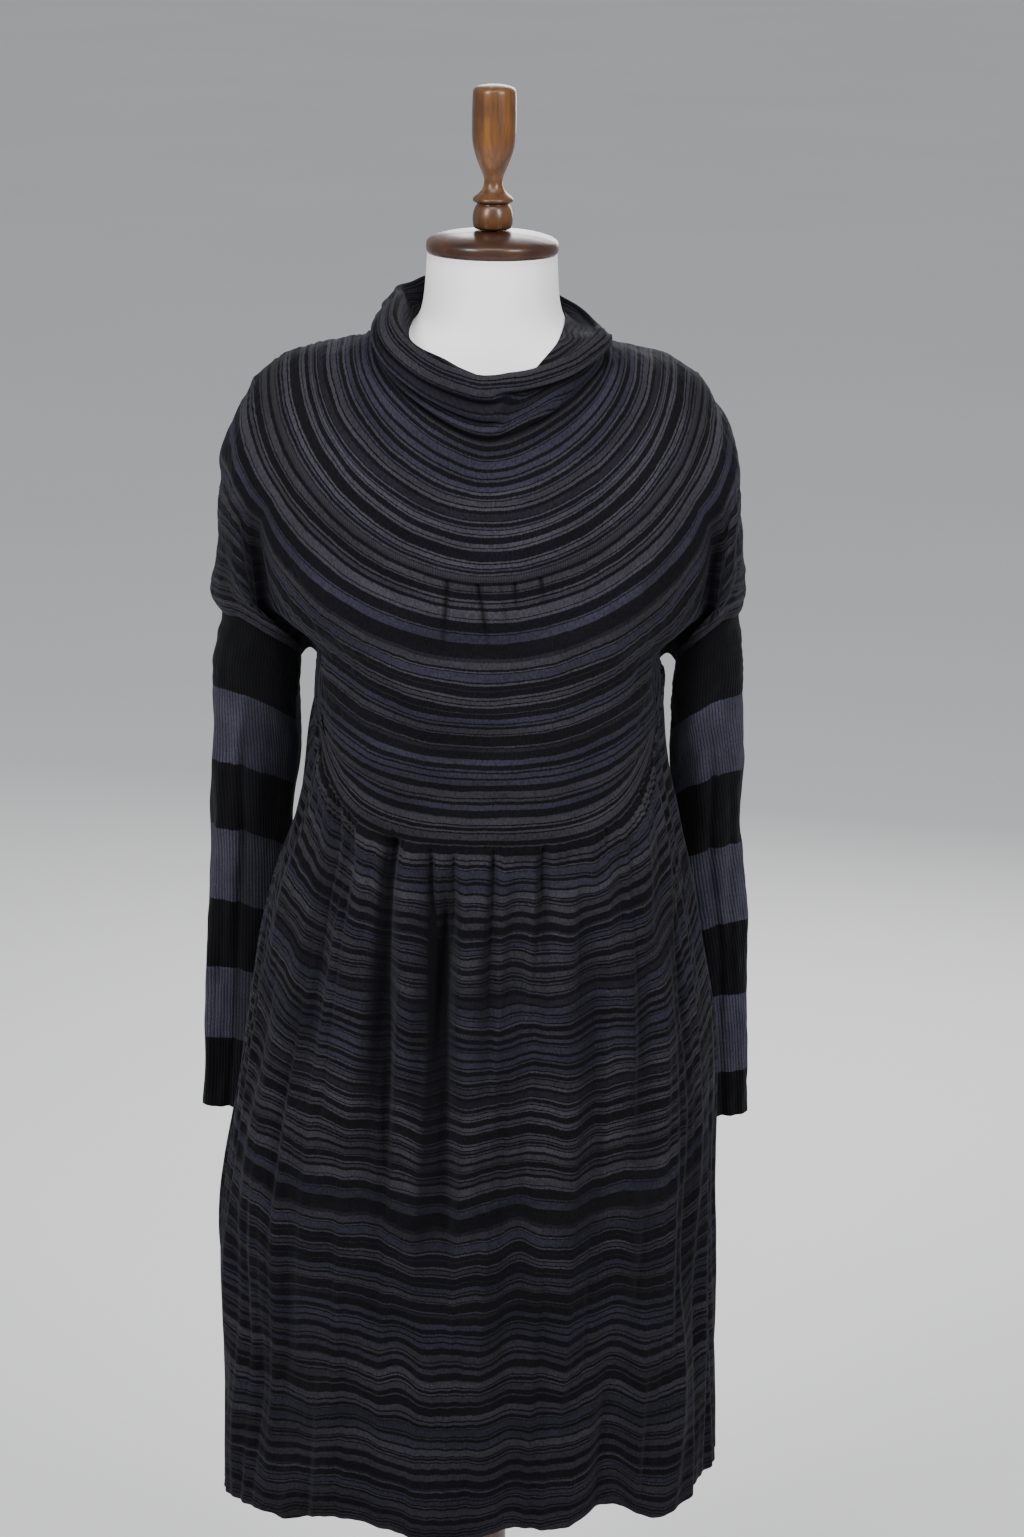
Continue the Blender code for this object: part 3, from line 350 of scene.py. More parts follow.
def spaced(faces, spread):
    """Places from 0 to 1, further apart towards the end."""
    q = np.linspace(0, 1, faces + 1)
    return (1 - spread) * q + spread * q ** 2


def arm_line(ring, right):
    """Where a ring crosses the line down the arm: how far out, how high, and how far past the body."""
    side = "right" if right else "left"
    height, over = ring_value("arm_" + side, ring), ring_value("over_" + side, ring)
    return float(half_width(1 if right else -1, height)) + over, height, over


def half_ring(ring, right, back, fineness):
    """Half a ring in three parts: across the body, through the armhole crease and over the arm."""
    over_shoulder = shoulder_ring(ring, right, back, fineness)
    crossing = crease_ring(ring, right, back, fineness)
    creased = ease((ring - 1.0) / CREASE_GROWTH)
    return [plain + (folded - plain) * creased for plain, folded in zip(over_shoulder, crossing)]


def shoulder_ring(ring, right, back, fineness):
    """Half a ring as it lies smoothly over the shoulder."""
    sign = 1 if right else -1
    centre = ring_value("centre_back" if back else "centre_front", ring)
    arm_x, arm_height, over = arm_line(ring, right)
    turn = np.linspace(0, math.pi / 2, CURVE_POINTS)
    z = centre + (arm_height - centre) * climb(turn, ring)
    widest = half_width(sign, z) + over
    x = sign * np.minimum(arm_x * np.sin(turn), widest)
    dense = np.stack([x, surface_y(x * half_width(sign, z) / widest, z, back), z], -1)
    dense[-1, 1] = 0
    line = along(dense, spaced(HALF_RING_FACES * fineness, SHOULDER_SPREAD))
    to_crease, to_cap = BODY_FACES * fineness, (BODY_FACES + SIDE_FACES) * fineness
    return line[:to_crease + 1], line[to_crease:to_cap + 1], line[to_cap:]


def crease_ring(ring, right, back, fineness):
    """Half a ring that dips into the armhole crease and bulges out again over the arm."""
    sign = 1 if right else -1
    face = 1 if back else -1
    side = "back" if back else "front"
    centre = ring_value("centre_" + side, ring)
    height, reach, gap = [ring_value(name, ring) for name in ("crease_height", "crease_reach", "gap")]
    square = float(section(side + "_square", height))
    out = (1 - (reach / float(section(side, height))) ** square) ** (1 / square)
    crease_x = float(half_width(sign, height)) * out
    start = np.array([sign * crease_x, face * reach, height])

    turn = np.linspace(0, math.pi / 2, CURVE_POINTS)
    z = centre + (height - centre) * climb(turn, ring)
    x = sign * np.minimum(crease_x * np.sin(turn), out * half_width(sign, z))
    dense = np.stack([x, surface_y(x, z, back), z], -1)
    dense[-1] = start
    body = along(dense, spaced(BODY_FACES * fineness, CREASE_SPREAD))

    depth = ease(ring - 1.0)
    finish = start + np.array([sign * gap, 0, -CREASE_DROP * gap * depth])
    t = np.linspace(0, 1, SIDE_FACES * fineness + 1)[:, None]
    crease = start + (finish - start) * t
    rise = UNDERARM_RISE * np.sin(math.pi * t[:, 0]) * depth
    under_arm = ease((ring - 1.7) / 0.3)
    crease[:, 2] += rise * under_arm
    crease[:, 1] -= face * rise * (1 - under_arm)

    arm_x, arm_height, _ = arm_line(ring, right)
    turn = np.linspace(0, math.pi, CAP_FACES * fineness + 1)
    u = (1 - np.cos(turn)) / 2
    cap = np.stack([finish[0] + (sign * arm_x - finish[0]) * u,
                    face * (reach * np.sqrt(1 - u * u) + ring_value("bulge", ring) * np.sin(turn)),
                    finish[2] + (arm_height - finish[2]) * (1 - (1 - u) ** CAP_RISE)], -1)
    return body, crease, cap


def mirrored(left, right):
    """From the left end to the right one, out of two halves that start at the centre."""
    return np.concatenate([left[::-1], right[1:]])


def closed_ring(ring, fineness):
    """A whole ring: across the front from left to right, then across the back to the left again."""
    lines = []
    for back in (False, True):
        halves = []
        for right in (False, True):
            body, crease, cap = half_ring(ring, right, back, fineness)
            halves.append(np.concatenate([body, crease[1:], cap[1:]]))
        row = mirrored(*halves)
        row[[0, -1], 1] = 0
        lines.append(row[::-1] if back else row)
    return np.concatenate([lines[0], lines[1][1:]])


def all_round(half):
    """A value for each column of a closed ring, out of those for the columns of half its front."""
    front = mirrored(half, half)
    return np.concatenate([front, front[::-1][1:]])


def column_places(fineness):
    """Columns of half a ring, in faces of the part from the centre."""
    return np.arange(HALF_RING_FACES * fineness + 1) / fineness


def crease_calm(fineness):
    """Columns of a closed ring: 0 in the armhole creases, 1 well away from them."""
    place = column_places(fineness)
    away = np.maximum(BODY_FACES - place, place - BODY_FACES - SIDE_FACES)
    return all_round(ease(away / 1.5))


def cap_place(fineness):
    """Columns of a closed ring: 0 at the armhole creases to 1 on the arm line, less than 0 elsewhere."""
    return all_round((column_places(fineness) - BODY_FACES - SIDE_FACES) / CAP_FACES)


def ring_course(ring):
    """Length of cloth down the centre front, from the collar seam to a ring."""
    return RINGS[0][1] - read(RINGS, RING_COLUMNS, "centre_front", ring)


YOKE_COURSE = float(ring_course(1.0))
BODICE_COURSE = float(ring_course(2.0))


def ring_grid(rings, fineness):
    """The points of a cloth made of rings, with the knit coordinates of each."""
    grid = np.stack([closed_ring(ring, fineness) for ring in rings])
    columns = grid.shape[1]
    return grid, arc_lengths(grid, (columns - 1) // 4), np.repeat(ring_course(rings)[:, None], columns, 1)


def seam_rows(start, end, count, near):
    """Row places from start to end, closer together near both seams."""
    near = np.array(near)
    return np.unique(np.round(np.concatenate([np.linspace(start, end, count), start + near, end - near]), 6))


def pinned(from_start, to_end):
    """Nothing at a piece's two seams, where it meets its neighbour's edge, and 1 between them."""
    return ease(from_start / SEAM_EASE) * ease(to_end / SEAM_EASE)


# ---- grids of points
def unit(vectors):
    return vectors / np.maximum(np.linalg.norm(vectors, axis=-1, keepdims=True), 1e-12)


def grid_normals(grid):
    """Outward directions on a closed grid whose rows run downwards."""
    wide = np.concatenate([grid[:, -2:-1], grid, grid[:, 1:2]], axis=1)
    across = wide[:, 2:] - wide[:, :-2]
    down = np.gradient(grid, axis=0)
    return unit(np.cross(down, across))


def arc_lengths(grid, zero_column):
    """Distance along every row from one of its columns."""
    step = np.linalg.norm(np.diff(grid, axis=1), axis=2)
    total = np.concatenate([np.zeros((len(grid), 1)), np.cumsum(step, axis=1)], axis=1)
    return total - total[:, zero_column:zero_column + 1]


def joined(field, over=18):
    """The field with its last columns eased until the very last one meets the first."""
    columns = field.shape[1]
    return field + ease((np.arange(columns) - columns + 1 + over) / over) * (field[:, :1] - field[:, -1:])


def lifted(grid, lift):
    return grid + grid_normals(grid) * joined(lift)[..., None]


def turned_edge(grid, depth, radius):
    """Rows that carry a cloth's lower edge round and up inside it."""
    normal = grid_normals(grid)[-1]
    down = unit(grid[-1] - grid[-3])
    extra = []
    for angle in np.linspace(0, math.pi, BEND_ROWS + 1)[1:]:
        extra.append(grid[-1] + radius * math.sin(angle) * down - radius * (1 - math.cos(angle)) * normal)
    for share in np.linspace(0, 1, INSIDE_ROWS + 1)[1:]:
        extra.append(grid[-1] - 2 * radius * normal - down * depth * share)
    return np.concatenate([grid, np.stack(extra)])


def run_on(field, at_once=0.0, each_row=0.0):
    """A field of a grid's points, carried on over the rows of its turned edge."""
    more = at_once + each_row * np.arange(1, BEND_ROWS + INSIDE_ROWS + 1)
    return np.concatenate([field, field[-1:] + more[:, None]])


def tucked(grid):
    """One more row above a cloth's upper edge, which slips in behind the cloth that it is sewn to."""
    rise = unit(grid[0] - grid[1])
    return np.concatenate([grid[:1] + TUCK_RISE * rise - TUCK_DEPTH * grid_normals(grid)[0], grid])


def doubled(field):
    """A field of a grid's points, with its first row there twice for the tucked row."""
    return np.concatenate([field[:1], field])


# ---- meshes
collection = bpy.data.collections.new("dress_looks")
bpy.context.scene.collection.children.link(collection)


def skin(name, grid, wale, course, material, shade):
    """A skin from a grid whose last column closes on its first, with its knit coordinates and shade."""
    rows, columns = grid.shape[:2]
    mesh = bpy.data.meshes.new(name)
    number = np.arange(rows * columns).reshape(rows, columns)
    faces = np.stack([number[:-1, :-1], number[1:, :-1], number[1:, 1:], number[:-1, 1:]], -1).reshape(-1, 4)
    mesh.from_pydata(grid.reshape(-1, 3).tolist(), [], faces.tolist())
    layer = mesh.uv_layers.new(name="knit")
    uv = np.stack([wale, course], -1).reshape(-1, 2)
    layer.data.foreach_set("uv", uv[faces.reshape(-1)].astype(np.float32).ravel())
    tone = mesh.attributes.new("shade", "FLOAT", "POINT")
    tone.data.foreach_set("value", shade.reshape(-1).astype(np.float32))
    work = bmesh.new()
    work.from_mesh(mesh)
    bmesh.ops.remove_doubles(work, verts=work.verts, dist=2e-6)
    work.to_mesh(mesh)
    work.free()
    mesh.shade_smooth()
    mesh.materials.append(material)
    obj = bpy.data.objects.new(name, mesh)
    collection.objects.link(obj)
    return obj


# ---- materials
class Nodes:
    """Short ways to add the nodes of one material."""

    def __init__(self, tree):
        self.tree = tree

    def put(self, target, value):
        if isinstance(value, bpy.types.NodeSocket):
            self.tree.links.new(value, target)
        elif value is not None:
            target.default_value = value

    def add(self, kind, inputs, output=0, **settings):
        """A node of a kind with its settings; its inputs and the wanted output go by number or name."""
        node = self.tree.nodes.new("ShaderNode" + kind)
        for name, value in settings.items():
            setattr(node, name, value)
        for socket, value in inputs.items():
            self.put(node.inputs[socket], value)
        return node.outputs[output]

    def math(self, operation, a, b=None, clamp=False):
        return self.add("Math", {0: a, 1: b}, operation=operation, use_clamp=clamp)

    def plus(self, a, b):
        return self.math("ADD", a, b)

    def times(self, a, b, clamp=False):
        return self.math("MULTIPLY", a, b, clamp)

    def wave(self, place, length):
        return self.math("SINE", self.times(place, 2 * math.pi / length))

    def swayed(self, place, noise, reach):
        """A place moved to and fro by a noise."""
        return self.plus(place, self.times(self.math("SUBTRACT", noise, 0.5), reach))

    def mix(self, factor, a, b, kind="MIX"):
        return self.add("Mix", {0: factor, 6: a, 7: b}, 2, data_type="RGBA", blend_type=kind)

    def vector(self, x, y, z=0.0):
        return self.add("CombineXYZ", {0: x, 1: y, 2: z})

    def noise(self, vector, scale, detail, roughness=0.5):
        inputs = {"Vector": vector, "Scale": scale, "Detail": detail, "Roughness": roughness}
        return self.add("TexNoise", inputs, "Fac")

    def span(self, value, low, high, to_low=0.0, to_high=1.0):
        inputs = {0: value, 1: low, 2: high, 3: to_low, 4: to_high}
        return self.add("MapRange", inputs, interpolation_type="SMOOTHSTEP")

    def ramp(self, value, stops, kind="EASE"):
        output = self.add("ValToRGB", {0: value})
        ramp = output.node.color_ramp
        ramp.interpolation = kind
        for i, (place, colour) in enumerate(stops):
            stop = ramp.elements[i] if i < 2 else ramp.elements.new(place)
            stop.position = place
            stop.color = (*colour, 1.0)
        return output

    def tinted(self, colour, value, stops, kind="EASE"):
        """A colour multiplied by a ramp of tones."""
        return self.mix(1.0, colour, self.ramp(value, stops, kind), "MULTIPLY")

    def in_creases(self, colour, share, deep):
        """A colour that goes over to a deep one as far as the mesh's shade attribute says: painted shade on
        the cloth, and darker grooves on the turned wood.
        """
        shade = self.add("Attribute", {}, "Fac", attribute_name="shade")
        return self.mix(self.times(shade, share, clamp=True), colour, (*deep, 1))

    def bump(self, height, strength, distance, below=None):
        inputs = {"Strength": strength, "Distance": distance, "Height": height, "Normal": below}
        return self.add("Bump", inputs)

    def object_place(self):
        return self.add("TexCoord", {}, "Object")

    def knit_place(self):
        """The places along and across the courses: wale and course."""
        wale = self.add("SeparateXYZ", {0: self.add("UVMap", {}, uv_map="knit")})
        self.wale, self.course = wale, wale.node.outputs[1]
        return self.wale, self.course

    def knit_noise(self, scale, detail, roughness=0.5, along=1, across=1):
        """A noise over the knit, stretched along the courses or across them by a share under 1."""
        wale = self.wale if along == 1 else self.times(self.wale, along)
        course = self.course if across == 1 else self.times(self.course, across)
        return self.noise(self.vector(wale, course), scale, detail, roughness)


def new_material(name, roughness, sheen=0.0, specular=0.08):
    material = bpy.data.materials.new(name)
    material.use_nodes = True
    shader = material.node_tree.nodes["Principled BSDF"]
    shader.inputs["Roughness"].default_value = roughness
    shader.inputs["Specular IOR Level"].default_value = specular
    if sheen:
        shader.inputs["Sheen Weight"].default_value = sheen
        shader.inputs["Sheen Roughness"].default_value = 0.45
        shader.inputs["Sheen Tint"].default_value = (0.75, 0.78, 0.9, 1)
    return material, Nodes(material.node_tree), shader


def greys(low, dark, high, light):
    """Two stops of a ramp, from a dark tone to a light one."""
    return [(low, (dark, dark, dark)), (high, (light, light, light))]


# Yarn colours, and how wide and how usual a stripe of each is.
BLACK = (0.0032, 0.0031, 0.0043)
CHARCOAL = (0.0085, 0.008, 0.011)
SLATE = (0.0172, 0.0162, 0.0256)
SAGE = (0.02, 0.019, 0.0232)
ASH = (0.0266, 0.025, 0.0316)
WIDE_YARNS = (SLATE, SAGE, SLATE, ASH, SAGE, CHARCOAL)
THIN_YARNS = (ASH, SAGE, SLATE)
WIDE_WIDTHS = (0.003, 0.007)
LINE_WIDTHS = (0.0008, 0.0014)
UPPER_WIDTHS = (0.0012, 0.0024)  # of the thin yarns above a black band, and below it
LOWER_WIDTHS = (0.0012, 0.002)
UPPER_ODDS, LOWER_ODDS = 0.6, 0.45
BLACK_WIDTHS = (0.002, 0.003, 0.0042, 0.0054, 0.0085)
BLACK_ODDS = (0.24, 0.27, 0.25, 0.16, 0.08)
STRIPE_REPEAT = 0.52  # length of cloth after which the yarn changes come again
STRIPE_PARTS = 7  # ramps that hold them, of up to 32 stops each
# Bold black bands: how far below the yoke seam each starts, and how wide it is.
BOLD_BANDS = ((0.054, 0.0108), (0.093, 0.0055), (0.1135, 0.0048), (0.1475, 0.0066),
              (0.1992, 0.0066), (0.232, 0.008), (0.306, 0.0075))
# Painted shade along the whole cloth, from the collar seam to the hem: less light falls lower down.
FALLOFF_SHADE = ((0.0, 1.0), (0.13, 1.0), (0.34, 0.82), (0.6, 0.72), (1.0, 0.46))
WALE_WIDTH, COURSE_HEIGHT = 0.0016, 0.0012
SEAM_TICK = 0.0022  # distance between the stitches of the yoke's linked seam
# Painted shade: how far the mesh's shade attribute darkens the knit, and the dark colour it goes to.
PAINTED_SHADE_SHARE = 0.85
PAINTED_SHADE_BLACK = (0.002, 0.002, 0.003)
KNIT_ROUGHNESS, KNIT_SHEEN = 0.88, 0.04


def yarn_changes():
    """The uneven stripes of one repeat: black bands of many widths between soft grey groups."""
    rng = np.random.default_rng(38)
    stripes, place = [], 0.0
    while place < STRIPE_REPEAT:
        stripes.append((place, WIDE_YARNS[rng.integers(len(WIDE_YARNS))]))
        place += rng.uniform(*WIDE_WIDTHS)
        if rng.random() < UPPER_ODDS:
            stripes.append((place, BLACK))
            place += rng.uniform(*LINE_WIDTHS)
            stripes.append((place, THIN_YARNS[rng.integers(len(THIN_YARNS))]))
            place += rng.uniform(*UPPER_WIDTHS)
        stripes.append((place, BLACK))
        place += rng.choice(BLACK_WIDTHS, p=BLACK_ODDS)
        if rng.random() < LOWER_ODDS:
            stripes.append((place, THIN_YARNS[rng.integers(len(THIN_YARNS))]))
            place += rng.uniform(*LOWER_WIDTHS)
            stripes.append((place, BLACK))
            place += rng.uniform(*LINE_WIDTHS)
    for below, width in BOLD_BANDS:
        start = YOKE_COURSE + below
        after = [colour for place, colour in stripes if place < start + width and colour != BLACK][-1]
        kept = [stripe for stripe in stripes if not start <= stripe[0] < start + width]
        stripes = sorted(kept + [(start, BLACK), (start + width, after)])
    return [stripe for stripe in stripes if stripe[0] < STRIPE_REPEAT]


def stripe_colour(n, at):
    """The yarn's colour at a course, from a row of ramps that take turns."""
    turn = n.times(n.math("FRACT", n.math("DIVIDE", at, STRIPE_REPEAT)), STRIPE_PARTS)
    stripes = yarn_changes()
    colour = None
    for part in range(STRIPE_PARTS):
        low, high = part * STRIPE_REPEAT / STRIPE_PARTS, (part + 1) * STRIPE_REPEAT / STRIPE_PARTS
        before = [c for p, c in stripes if p <= low]
        own = [((p - low) / (high - low), c) for p, c in stripes if low < p < high]
        stops = [(0.0, before[-1] if before else stripes[0][1])] + own
        ramp = n.ramp(n.math("SUBTRACT", turn, float(part)), stops[:32], "CONSTANT")
        here = n.math("GREATER_THAN", turn, float(part))
        colour = ramp if colour is None else n.mix(here, colour, ramp)
    return colour


def striped_knit():
    material, n, shader = new_material("knit_stripes", KNIT_ROUGHNESS, KNIT_SHEEN)
    wale, course = n.knit_place()
    at = n.swayed(course, n.knit_noise(26.0, 2.0), 0.0028)
    at = n.swayed(at, n.knit_noise(420.0, 1.0), 0.0012)
    colour = stripe_colour(n, at)
    # Uneven dye along the cloth, and the mottle of single stitches.
    tone = n.knit_noise(34.0, 2.0, along=0.25)
    colour = n.tinted(colour, tone, [(0.25, (0.76, 0.76, 0.78)), (0.75, (1.36, 1.35, 1.36))])
    mottle = n.knit_noise(520.0, 2.0, 0.6, across=0.55)
    colour = n.tinted(colour, mottle, greys(0.3, 0.68, 0.7, 1.36), "LINEAR")
    # The linked seam of the yoke: a dark line crossed by fine pale ticks.
    in_seam = n.times(n.span(course, YOKE_COURSE - 0.0062, YOKE_COURSE - 0.0052),
                      n.span(course, YOKE_COURSE + 0.0002, YOKE_COURSE - 0.001))
    linked = n.mix(n.span(n.wave(wale, SEAM_TICK), -0.4, 0.8), (*CHARCOAL, 1), (*SAGE, 1))
    colour = n.mix(n.times(in_seam, 0.8), colour, linked)
    # Painted shade: the colour grows a little darker towards the hem, where less light falls.
    colour = n.tinted(colour, n.math("DIVIDE", course, SKIRT_LENGTH + BODICE_COURSE),
                      [(place, (grey, grey, grey)) for place, grey in FALLOFF_SHADE], "LINEAR")
    n.put(shader.inputs["Base Color"], n.in_creases(colour, PAINTED_SHADE_SHARE, PAINTED_SHADE_BLACK))
    # Stitches: wales of little legs, courses across them.
    lean = n.math("PINGPONG", wale, WALE_WIDTH / 2)
    legs = n.wave(n.plus(course, n.times(lean, 0.9)), COURSE_HEIGHT)
    height = n.plus(n.times(n.wave(wale, WALE_WIDTH), 0.6), n.times(legs, 0.4))
    fine = n.bump(height, 0.35, 0.0003)
    puckers = n.knit_noise(95.0, 3.0, 0.55, across=1.6)
    n.put(shader.inputs["Normal"], n.bump(puckers, 0.4, 0.0022, fine))
    n.put(shader.inputs["Roughness"], n.span(mottle, 0.3, 0.7, 0.95, 0.84))
    return material


BAND_BLACK = (0.0029, 0.0029, 0.0036)
BAND_GREY = (0.0345, 0.0335, 0.05)
BANDS = (0.0, 0.135, 0.278, 0.423, 0.577, 0.716, 0.86)  # along the left sleeve
RIGHT_BANDS = 0.945  # the right sleeve shows this share of them along its length
RIB = 0.003


def ribbed_knit():
    material, n, shader = new_material("knit_ribs", KNIT_ROUGHNESS, KNIT_SHEEN)
    wale, course = n.knit_place()
    at = n.swayed(course, n.knit_noise(300.0, 1.0), 0.004)
    stops = [(place, BAND_GREY if i % 2 else BAND_BLACK) for i, place in enumerate(BANDS)]
    colour = n.ramp(at, stops, "CONSTANT")
    slow = n.knit_noise(30.0, 2.0, across=0.4)
    colour = n.tinted(colour, slow, [(0.3, (0.78, 0.78, 0.8)), (0.7, (1.2, 1.2, 1.18))])
    wander = n.knit_noise(60.0, 1.0, across=0.5)
    rib = n.plus(n.times(n.wave(n.plus(wale, n.times(wander, 0.0016)), RIB), 0.5), 0.5)
    # Painted shade in the grooves between the ribs, and a faint painted highlight on their tops.
    groove = n.span(rib, 0.0, 0.5, 0.4, 1.06)
    colour = n.mix(1.0, colour, n.vector(groove, groove, groove), "MULTIPLY")
    mottle = n.knit_noise(640.0, 2.0, 0.6, across=0.3)
    colour = n.tinted(colour, mottle, greys(0.3, 0.72, 0.7, 1.35), "LINEAR")
    n.put(shader.inputs["Base Color"], n.in_creases(colour, PAINTED_SHADE_SHARE, PAINTED_SHADE_BLACK))
    n.put(shader.inputs["Normal"], n.bump(rib, 0.55, 0.0007))
    return material


def cover_cloth():
    material, n, shader = new_material("cover_jersey", 0.72, 0.12)
    place = n.object_place()
    colour = n.ramp(n.noise(place, 14.0, 3.0), [(0.3, (0.87, 0.835, 0.825)), (0.7, (0.91, 0.875, 0.865))])
    # Darker along the back seam and painted shade under the neck cap, by the mesh's shade attribute.
    n.put(shader.inputs["Base Color"], n.in_creases(colour, 1.0, (0.42, 0.39, 0.36)))
    n.put(shader.inputs["Normal"], n.bump(n.noise(place, 900.0, 2.0, 0.6), 0.25, 0.0004))
    return material


def turned_wood(name, light, dark, scale):
    material, n, shader = new_material(name, 0.34, specular=0.35)
    shader.inputs["Coat Weight"].default_value = 0.22
    shader.inputs["Coat Roughness"].default_value = 0.18
    place = n.object_place()
    stretched = n.add("Mapping", {"Vector": place, "Scale": scale})
    grain = n.noise(stretched, 1.0, 6.0, 0.62)
    broad = n.noise(place, 26.0, 3.0)
    pores = n.noise(stretched, 5.0, 3.0, 0.7)
    between = [(a + b) / 2 for a, b in zip(light, dark)]
    colour = n.ramp(grain, [(0.3, dark), (0.5, between), (0.68, light)])
    colour = n.mix(n.span(broad, 0.42, 0.68, 0.0, 0.55), colour, (*[c * 0.55 for c in dark], 1))
    colour = n.mix(n.span(pores, 0.6, 0.72, 0.0, 0.5), colour, (*[c * 0.5 for c in dark], 1))
    n.put(shader.inputs["Base Color"], n.in_creases(colour, 0.9, (0.01, 0.005, 0.003)))
    n.put(shader.inputs["Roughness"], n.span(grain, 0.3, 0.7, 0.42, 0.28))
    n.put(shader.inputs["Normal"], n.bump(pores, 0.12, 0.0004))
    return material


stripes_material = striped_knit()
ribs_material = ribbed_knit()
cover_material = cover_cloth()
wood_material = turned_wood("wood_brown", (0.175, 0.068, 0.016), (0.04, 0.015, 0.005), (150, 150, 11))
cap_material = turned_wood("wood_cap", (0.078, 0.026, 0.008), (0.02, 0.008, 0.004), (14, 90, 60))
stand_material = turned_wood("wood_stand", (0.1, 0.037, 0.013), (0.028, 0.011, 0.006), (90, 90, 8))

# ---- yoke
# Small unevenness of each cloth: height, wave lengths along and across the courses, and seed.
YOKE_UNEVEN = ((0.0006, 0.09, 0.07, 11), (0.0002, 0.018, 0.03, 12))
BODICE_UNEVEN = ((0.0009, 0.1, 0.08, 21), (0.0003, 0.02, 0.03, 22))
BODICE_PUCKERS = ((0.0012, 0.01, 0.05, 23),)
SKIRT_UNEVEN = ((0.0028, 0.085, 0.42, 31), (0.0014, 0.036, 0.24, 32))
SKIRT_FINE = ((0.00012, 0.016, 0.07, 33),)
SKIRT_GATHERS = ((0.0013, 0.007, 0.1, 34),)
SKIRT_STRIPES = ((0.0016, 0.07, 0.2, 35),)
SLEEVE_UNEVEN = ((0.0014, 0.06, 0.24, 1), (0.0004, 0.02, 0.07, 2))
SLEEVE_DRAGS = ((0.0006, 0.07, 0.03, 3),)


def make_yoke():
    rings = seam_rows(0.0, 1.0, 52, (0.006, 0.012, 0.018, 0.026, 0.034))
    grid, wale, course = ring_grid(rings, YOKE_FINENESS)
    turn = np.arctan2(grid[..., 0], -grid[..., 1])
    fronted = ease((np.cos(turn) + 0.15) / 0.9)
    # The yoke's top edge rolls over in front, above the collar that goes in behind it.
    lift = 0.0044 * bell(course - 0.0062, 0.0052) * fronted * np.where(grid[..., 0] > 0, 1.0, 0.6)
    # Its seam with the bodice is a fine raised ridge.
    lift += 0.0009 * bell(course - (YOKE_COURSE - 0.0032), 0.002)
    soft = ease(course / 0.02) * ease((YOKE_COURSE - course) / 0.01)
    lift += uneven(wale, course, YOKE_UNEVEN) * soft
    lift *= pinned(course, YOKE_COURSE - course)
    # Painted shade in the crease under the rolled top edge in front, and along the seam with the bodice.
    shade = 0.85 * bell(course, 0.0026) * fronted + 0.5 * bell(course - YOKE_COURSE, 0.0012)
    return skin("dress_yoke", lifted(grid, lift), wale, course, stripes_material, shade)


# ---- bodice
def pleat_lift(x, below):
    """Height of the pleats let in under the yoke seam, and the painted shade in their troughs."""
    lift, shade = np.zeros_like(x), np.zeros_like(x)
    for p in named(PLEATS, PLEAT_COLUMNS):
        t = below / p["length"]
        d = x - p["top"] - (p["bottom"] - p["top"]) * t
        there = (1 - ease((t - 0.45) / 0.6)) * ease(below / 0.002)
        beside = bells(d, ((0.35, 0.0055, 0.0042), (-0.2, -0.007, 0.005)))
        lift += p["depth"] * (beside - bell(d, p["half_width"])) * there
        shade += 0.95 * bell(d, 0.8 * p["half_width"]) * there * min(1, p["depth"] / 0.0025)
    return lift, shade


def make_bodice():
    rings = seam_rows(1.0, 2.0, 110, (0.0025, 0.005, 0.0075, 0.0115, 0.0155))
    grid, wale, course = ring_grid(rings, BODICE_FINENESS)
    columns = grid.shape[1]
    in_front = np.arange(columns) <= (columns - 1) // 2
    below = course - YOKE_COURSE
    edge = BODICE_COURSE - course
    lift, shade = [field * in_front for field in pleat_lift(grid[..., 0], below)]
    soft = ease(below / 0.012) * ease(edge / 0.02) * crease_calm(BODICE_FINENESS)
    lift += uneven(wale, course, BODICE_UNEVEN) * soft
    # The cloth puckers a little along the yoke seam, beside the pleats.
    pucker = bell(np.abs(grid[..., 0]) - 0.075, 0.05) * bell(below - 0.012, 0.014) * in_front
    lift += uneven(wale, course * 0.3, BODICE_PUCKERS) * pucker
    # A long soft fold runs down the dropped shoulder, and the cloth beyond it turns to the body.
    outward = cap_place(BODICE_FINENESS)
    lower = ease((rings - 1.15) / 0.5)[:, None]
    fold = bell(outward - 0.42, 0.13) * lower
    dent = bell(outward - 0.2, 0.12) * lower
    second = bell(outward - 0.66, 0.07) * ease((rings - 1.45) / 0.4)[:, None]
    lift += 0.003 * fold - 0.0022 * dent - 0.0016 * second
    lift *= pinned(below, edge)
    # Painted shade in the armhole crease, in the dents beside the shoulder fold, and along both seams.
    shade += 0.95 * bell(outward + 0.18, 0.32) * lower + 0.22 * dent + 0.18 * second
    shade += 0.55 * bell(below, 0.0013) + 0.3 * bell(edge, 0.0016)
    return skin("dress_bodice", lifted(grid, lift), wale, course, stripes_material, shade)


